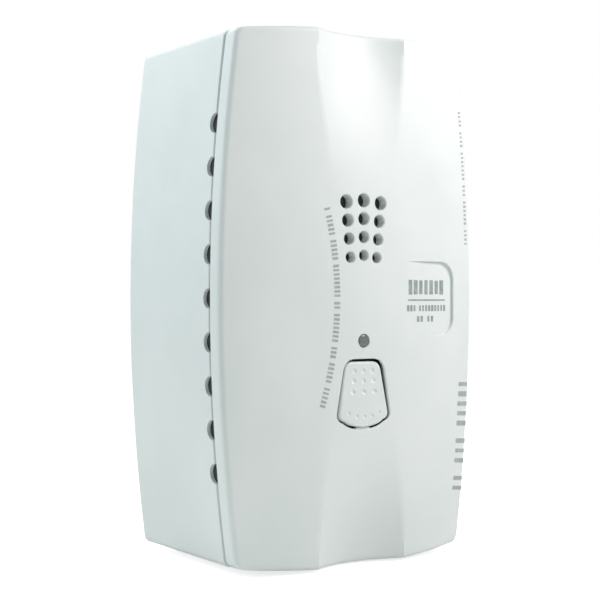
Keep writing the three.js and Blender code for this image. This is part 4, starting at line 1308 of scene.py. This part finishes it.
curved_legend = bmesh.new()
row_of_marks(
    lambda z: (-7.9 - 0.0062 * z ** 2, z), -26.2, 22.4, 1.7, 0.66, 0.36, (5, 5, 3, 7, 2, 8),
    face_at, curved_legend,
)
finish_piece("printed_curved_legend", curved_legend, "cover", print_grey)
edge_legend = bmesh.new()
row_of_marks(
    lambda z: (half_width_at(z) - 2.65, z), -50.0, -20.2, 3.9, 1.3, 1.24, (2, 3, 5),
    face_at, edge_legend,
)
row_of_marks(
    lambda z: (half_width_at(z) - 1.9, z), 14, 49, 1.0, 0.6, 0.5, (4, 6, 3, 7),
    face_at, edge_legend,
)
finish_piece("printed_edge_legend", edge_legend, "cover", print_grey)
label_print = bmesh.new()
row_of_marks(
    lambda x: (x, 2.8), 14.4, 28.3, 3.7, 1.45, 0.54, (20,), recess_floor, label_print,
)
mark(21.3, -0.44, 0, 14.2, 0.42, recess_floor, label_print)
row_of_marks(
    lambda x: (x, -2.5), 13.9, 29.4, 1.6, 0.8, 0.38, (3, 10), recess_floor, label_print,
)
row_of_marks(
    lambda x: (x, -5.2), 17.6, 24.2, 1.5, 0.9, 0.5, (2, 3), recess_floor, label_print,
)
finish_piece("printed_label_marks", label_print, "cover", print_dark)

# %% [markdown]
# ## Capacitors
#
# A large capacitor is a can in a shrunk plastic sleeve. The sleeve leaves the middle of the
# top bare, and a cross is pressed into it so that it can burst safely. Both cans are turned
# from one profile and stand for the plain measured ones, whose boxes give the sizes.

# %% Make the capacitors
PARTS_START = BOARD_FRONT + 0.1
BOARD_ROOT = BOARD_FRONT - 0.02


def middle_of(name):
    """The middle of a measured part, across and up, with its half width and its top."""
    low, high = (corner / MM for corner in map(Vector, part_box(name)))
    return (low.x + high.x) / 2, (low.z + high.z) / 2, (high.x - low.x) / 2, -low.y


sleeve_finish = new_finish(
    "capacitor_sleeve", (26, 32, 52), (36, 42, 64), 0.3, patches=400, grain=2600,
    grain_depth=0.00001,
)
CROSS_HALF = 0.12
tops = bmesh.new()
for name in ("main_capacitor", "filter_capacitor"):
    x, z, radius, top = middle_of(name)
    height = top - PARTS_START
    can = turned(
        [(0, 0), (radius - 0.3, 0), (radius, 0.3), (radius, 1.4), (radius - 0.35, 1.9),
         (radius, 2.4), (radius, height - 0.5), (radius - 0.15, height - 0.15),
         (radius - 0.5, height), (radius - 1.0, height), (radius - 1.1, height - 0.25),
         (0, height - 0.25)],
        x, z, PARTS_START,
    )
    finish_piece(name + "_can", can, "base", sleeve_finish, (name,))
    disc = turned(
        [(0, height - 0.35), (radius - 1.2, height - 0.35), (radius - 1.2, height - 0.12),
         (0, height - 0.12)],
        x, z, PARTS_START,
    )
    level_cut = soft_block(
        x - radius, x + radius, z - CROSS_HALF, z + CROSS_HALF, top - 0.22, top + 1, 0,
    )
    upright_cut = soft_block(
        x - CROSS_HALF, x + CROSS_HALF, z - radius, z + radius, top - 0.21, top + 1, 0,
    )
    disc = carved(disc, ("DIFFERENCE", level_cut), ("DIFFERENCE", upright_cut))
    poured(disc, tops)
finish_piece("capacitor_tops", tops, "base", sink_aluminium)

# %% [markdown]
# ## Small parts on the board
#
# Between the large parts there are resistors. Some are tan barrels with coloured bands and
# bent leads, and some are black chips with bright ends. The barrels are a profile spun about
# an upright line, with rings a little wider than the barrel for the bands.

# %% Resistors with bands
resistor_tan = new_finish(
    "resistor_lacquer", (196, 168, 122), (208, 182, 138), 0.35, patches=900,
    grain=2000, grain_depth=0.00001,
)
band_brown = new_finish(
    "resistor_bands", (96, 44, 28), (120, 58, 36), 0.35, patches=900, grain=2000,
    grain_depth=0.00001,
)
BARREL_DEPTH = PARTS_START + 1.35
BAND_HALF = 0.2
LEAD_HALF = 0.25
LEAD_FOOT = 4.4
BARREL = [
    (0, -3.1), (0.75, -3.1), (1.15, -2.75), (1.2, -2.3), (1.05, -1.8), (1.0, 0), (1.05, 1.8),
    (1.2, 2.3), (1.15, 2.75), (0.75, 3.1), (0, 3.1),
]


def upright_barrel(profile, x, z, bm):
    """A round solid about an upright line, from a profile of (radius, height)."""
    points = [at(x + radius, z + height, BARREL_DEPTH) for radius, height in profile]
    spun(points, at(x, z, BARREL_DEPTH), (0, 0, 1), 20, bm)


barrels = bmesh.new()
bands = bmesh.new()
leads = bmesh.new()
for x, z in ((15.5, 10.0), (18.5, 10.0), (21.5, 10.0), (24.5, 10.0), (-15.2, 5.5), (-18.2, 5.5),
             (2.5, 37.0), (5.5, 37.0)):
    upright_barrel(BARREL, x, z, barrels)
    for height in (-2.4, -0.9, 0.1, 1.1, 2.3):
        radius = 1.22 if abs(height) > 2 else 1.08
        upright_barrel(
            [(0, height - BAND_HALF), (radius, height - BAND_HALF),
             (radius, height + BAND_HALF), (0, height + BAND_HALF)],
            x, z, bands,
        )
    for side in (-1, 1):
        foot = z + side * LEAD_FOOT
        low, high = sorted((z + side * 3.0, foot))
        soft_block(x - LEAD_HALF, x + LEAD_HALF, low, high, BARREL_DEPTH - LEAD_HALF,
                   BARREL_DEPTH + LEAD_HALF, 0.12, bm=leads)
        soft_block(x - LEAD_HALF, x + LEAD_HALF, foot - LEAD_HALF, foot + LEAD_HALF, BOARD_ROOT,
                   BARREL_DEPTH + 0.2, 0.12, bm=leads)
        turned([(0, 0), (0.8, 0), (0.5, 0.25), (0.3, 0.5), (0, 0.5)], x, foot,
               BOARD_ROOT, 12, leads)
finish_piece("resistor_barrels", barrels, "base", resistor_tan)
finish_piece("resistor_band_rings", bands, "base", band_brown)
finish_piece("resistor_leads", leads, "base", solder)

# %% [markdown]
# ## Chips
#
# The chips stand in the free areas of the board. An array modifier would fill them evenly. A
# seeded draw leaves out some of them instead, so that they don't look like a grid, and gives
# the same board each time. The controller gets its eight legs on each side.

# %% Chips, chip ends and legs
chips = bmesh.new()
chip_ends = bmesh.new()
chooser_of_chips = random.Random(5)
CHIP_SHARE_LEFT_OUT = 0.25
LEG_PITCH = 0.8
LEG_HALF = 0.17
chip_places = [(x, z) for x in (15, 18.4, 21.8, 25.2) for z in (18, 20.6, 23.2)]
chip_places += [(x, z) for x in (-25, -21.6, -18.2, -14.8) for z in (23.4, 26, 28.6)]
chip_places += [(x, z) for x in (-6.5, -3.1) for z in (33, 35.6, 38.2, 40.8, 43.4)]
chip_places += [(x, z) for x in (0.5, 3.9, 7.3, 10.7) for z in (45, 47.6, 50.2)]
for x, z in chip_places:
    if chooser_of_chips.random() < CHIP_SHARE_LEFT_OUT:
        continue
    soft_block(x - 0.6, x + 0.6, z - 0.42, z + 0.42, BOARD_ROOT, BOARD_FRONT + 0.5,
               0.05, 1, chips)
    for side in (-1, 1):
        left, right = sorted((x + side * 0.5, x + side * 0.85))
        soft_block(left, right, z - 0.44, z + 0.44, BOARD_ROOT, BOARD_FRONT + 0.46,
                   0.1, 1, chip_ends)
CHIP_X, CHIP_Z, CHIP_HALF, CHIP_TOP = middle_of("microcontroller")
for step in range(8):
    x = CHIP_X + (step - 3.5) * LEG_PITCH
    for side in (-1, 1):
        edge = CHIP_Z + side * CHIP_HALF
        for near, far, bottom, top in (
            (-0.1, 0.55, CHIP_TOP - 0.85, CHIP_TOP - 0.6),
            (0.4, 1.2, BOARD_ROOT, BOARD_FRONT + 0.2),
            (0.38, 0.58, BOARD_FRONT, CHIP_TOP - 0.62),
        ):
            low, high = sorted((edge + side * near, edge + side * far))
            soft_block(x - LEG_HALF, x + LEG_HALF, low, high, bottom, top, 0.05, 1, chip_ends)
finish_piece("chip_resistors", chips, "base", black_plastic)
finish_piece("chip_ends_and_legs", chip_ends, "base", solder)

# %% [markdown]
# ## Solder joints and board printing
#
# The joints of the large parts show on the back of the board, and can be seen through the
# wire opening. Each is a small cone, turned from a hollow profile with a stub of the lead in
# its middle. On the front, thin white lines frame the parts.

# %% Solder the joints and print the board
joints = bmesh.new()
joint_places = [
    (x + side * 18.4, z) for side in (-1, 1) for x in (-5.2, 0, 5.2) for z in (-24, -10.5)
]
joint_places += [(x, -31.6) for x in (-12.5, -7.5, -2.5, 2.5, 7.5, 12.5)]
joint_places += [(x, z) for x in (-2.3, 2.3) for z in (-22.6, -18.2)]
joint_places += [(-1.27, -10.4), (1.27, -10.4), (-3.8, 16.7), (3.8, 16.7)]
for x, z in joint_places:
    turned([(0, -0.02), (1.05, -0.02), (0.7, 0.25), (0.42, 0.7), (0.35, 1.2), (0.28, 1.3),
            (0, 1.3)], x, z, 0, 14, joints)
bmesh.ops.scale(joints, vec=(1, -1, 1), verts=joints.verts)
bmesh.ops.translate(joints, vec=(0, -BOARD_BACK, 0), verts=joints.verts)
finish_piece("solder_joints", joints, "base", solder)

silk_white = new_finish(
    "board_printing", (206, 210, 204), (222, 225, 220), 0.7, patches=900,
    grain=4000, grain_depth=0.00001,
)
silk = bmesh.new()
LINE = 0.22
LINE_HEIGHT = 0.035


def frame_line(x0, x1, z0, z1):
    """Four thin white lines round a part."""
    for low, high in ((z0, z0 + LINE), (z1 - LINE, z1)):
        soft_block(x0, x1, low, high, BOARD_ROOT, BOARD_FRONT + LINE_HEIGHT, 0, bm=silk)
    for left, right in ((x0, x0 + LINE), (x1 - LINE, x1)):
        soft_block(left, right, z0 + 0.05, z1 - 0.05, BOARD_ROOT, BOARD_FRONT + 0.03, 0, bm=silk)


for framed in ((-26.9, -9.8, -27.6, -7.0), (9.8, 26.9, -27.6, -7.0), (-4.0, 4.0, -24.4, -16.4),
               (13.6, 26.6, 5.0, 15.2), (-19.8, -13.4, 0.6, 10.4)):
    frame_line(*framed)
for name, margin in (("sounder", 0.7), ("co_sensor", 0.7), ("main_capacitor", 0.5),
                     ("filter_capacitor", 0.5), ("status_led", 0.6)):
    x, z, radius = middle_of(name)[:3]
    outer = radius + margin
    turned([(outer - LINE, -0.02), (outer, -0.02), (outer, LINE_HEIGHT),
            (outer - LINE, LINE_HEIGHT), (outer - LINE, -0.02)], x, z, BOARD_FRONT, 48, silk)
finish_piece("board_print_lines", silk, "base", silk_white)

# %% [markdown]
# ## Finishes for the measured parts
#
# The parts on the board keep the measured shapes. Each gets the finish that its material
# calls for, through the slots of its own object, so that its mesh is not touched.

# %% Dress the measured parts
NODE_FINISHES = {
    "circuit_board": board_green, "sensor_filter_cap": filter_white,
    "sounder_gasket": foam_and_vent_shade_grey, "status_led": led_green, "terminal_block": terminal_green,
    "heat_sink": sink_aluminium,
}
NODE_FINISHES |= dict.fromkeys(("co_sensor", "crystal"), can_steel)
NODE_FINISHES |= dict.fromkeys(("alarm_relay", "trouble_relay"), relay_blue)
NODE_FINISHES |= dict.fromkeys(
    ("sounder", "test_switch", "switch_plunger", "voltage_regulator", "microcontroller"),
    black_plastic,
)
screws = [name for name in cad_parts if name.startswith(("terminal_screw", "board_screw"))]
NODE_FINISHES |= dict.fromkeys(screws, screw_steel)
for name, finish in NODE_FINISHES.items():
    for material_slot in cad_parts[name].material_slots:
        material_slot.link = "OBJECT"
        material_slot.material = finish
print("dressed", len(NODE_FINISHES), "measured parts")

# %% [markdown]
# ## Floor
#
# The alarm stands on a plain pale floor. A plain floor would turn out greyer than the room
# behind it, so this one glows a little, but only where the camera looks at it directly. It
# throws no more light on the alarm than paint would.

# %% Lay the floor
FLOOR_GLOW = 0.75
FLOOR_GAP = 0.0005
floor_mesh = bmesh.new()
bmesh.ops.create_grid(floor_mesh, x_segments=8, y_segments=8, size=3.0)
bmesh.ops.translate(floor_mesh, vec=(0, 0, -HALF_HEIGHT * MM - FLOOR_GAP), verts=floor_mesh.verts)
floor_data = bpy.data.meshes.new("floor")
floor_mesh.to_mesh(floor_data)
floor_mesh.free()
floor = placed("floor", floor_data)
floor_paint = new_finish(
    "floor_paint", (240, 241, 241), (244, 245, 245), 0.9, patches=2, grain=300,
    grain_depth=0.0001,
)
set_shader(floor_paint, "Emission Color", (1, 1, 1, 1))
floor_tree = floor_paint.node_tree
floor_rays = add_node(floor_tree, "ShaderNodeLightPath", {})
glow = add_node(floor_tree, "ShaderNodeMath", {
    0: floor_rays.outputs["Is Camera Ray"], 1: FLOOR_GLOW,
}, operation="MULTIPLY")
set_shader(floor_paint, "Emission Strength", glow.outputs[0])
floor_data.materials.append(floor_paint)
print("floor at", round(floor_data.vertices[0].co.z, 4), "m")

# %% [markdown]
# ## Light
#
# A soft lamp high on the right makes the top and the right-hand panel bright. Two weaker ones
# on the left lift the side of the base, and one behind keeps the back from going dull. Lamps
# could be placed by hand. Here each is placed by its angles round the alarm, so that it
# always points at it.

# %% Hang the lamps
LAMP_MIDDLE = -0.03


def soft_lamp(name, turn, rise, distance, target_z, size, power, colour):
    """A square lamp placed by its angles round the alarm, which points at it."""
    around = math.radians(turn)
    up = math.radians(rise)
    place = Vector((
        distance * math.sin(around) * math.cos(up),
        -distance * math.cos(around) * math.cos(up) + LAMP_MIDDLE,
        distance * math.sin(up),
    ))
    target = Vector((0, LAMP_MIDDLE, target_z))
    data = bpy.data.lights.new(name, "AREA")
    data.size = size
    data.energy = power
    data.color = colour
    lamp = placed(name, data)
    lamp.location = place
    lamp.rotation_euler = looking(place, target)
    lamp.visible_camera = False
    print(f"{name}: {power} W, {distance} m away")


soft_lamp("key_lamp", 37, 39, 0.25, 0.02, 0.12, 0.49, (1.0, 0.92, 0.95))
soft_lamp("side_lamp", -120, 30, 0.50, 0.0, 0.30, 0.76, (0.96, 0.84, 0.80))
soft_lamp("rim_lamp", -105, 35, 0.27, 0.02, 0.15, 0.18, (0.62, 0.80, 1.0))
soft_lamp("back_lamp", 178, 35, 0.60, 0.0, 0.40, 1.2, (1.0, 0.97, 0.97))

# %% [markdown]
# ## The room
#
# The room gives the rest of the light, a little green and blue, so that the shadows are not
# dead grey. The camera sees a pure white backdrop instead, which a light-path node puts in
# only for the rays that come straight from the camera.

# %% Light the room
ROOM_LIGHT = 0.335
room = bpy.data.worlds.new("room")
room.use_nodes = True
bpy.context.scene.world = room
room_tree = room.node_tree
lit = room_tree.nodes["Background"]
fill(lit, "Color", (0.88, 1.0, 0.95, 1))
fill(lit, "Strength", ROOM_LIGHT)
seen = add_node(room_tree, "ShaderNodeBackground", {"Color": (1, 1, 1, 1)})
rays = add_node(room_tree, "ShaderNodeLightPath", {})
chooser = add_node(room_tree, "ShaderNodeMixShader", {
    "Fac": rays.outputs["Is Camera Ray"],
    1: lit.outputs["Background"],
    2: seen.outputs["Background"],
})
fill(room_tree.nodes["World Output"], "Surface", chooser.outputs["Shader"])
print("room light:", ROOM_LIGHT)
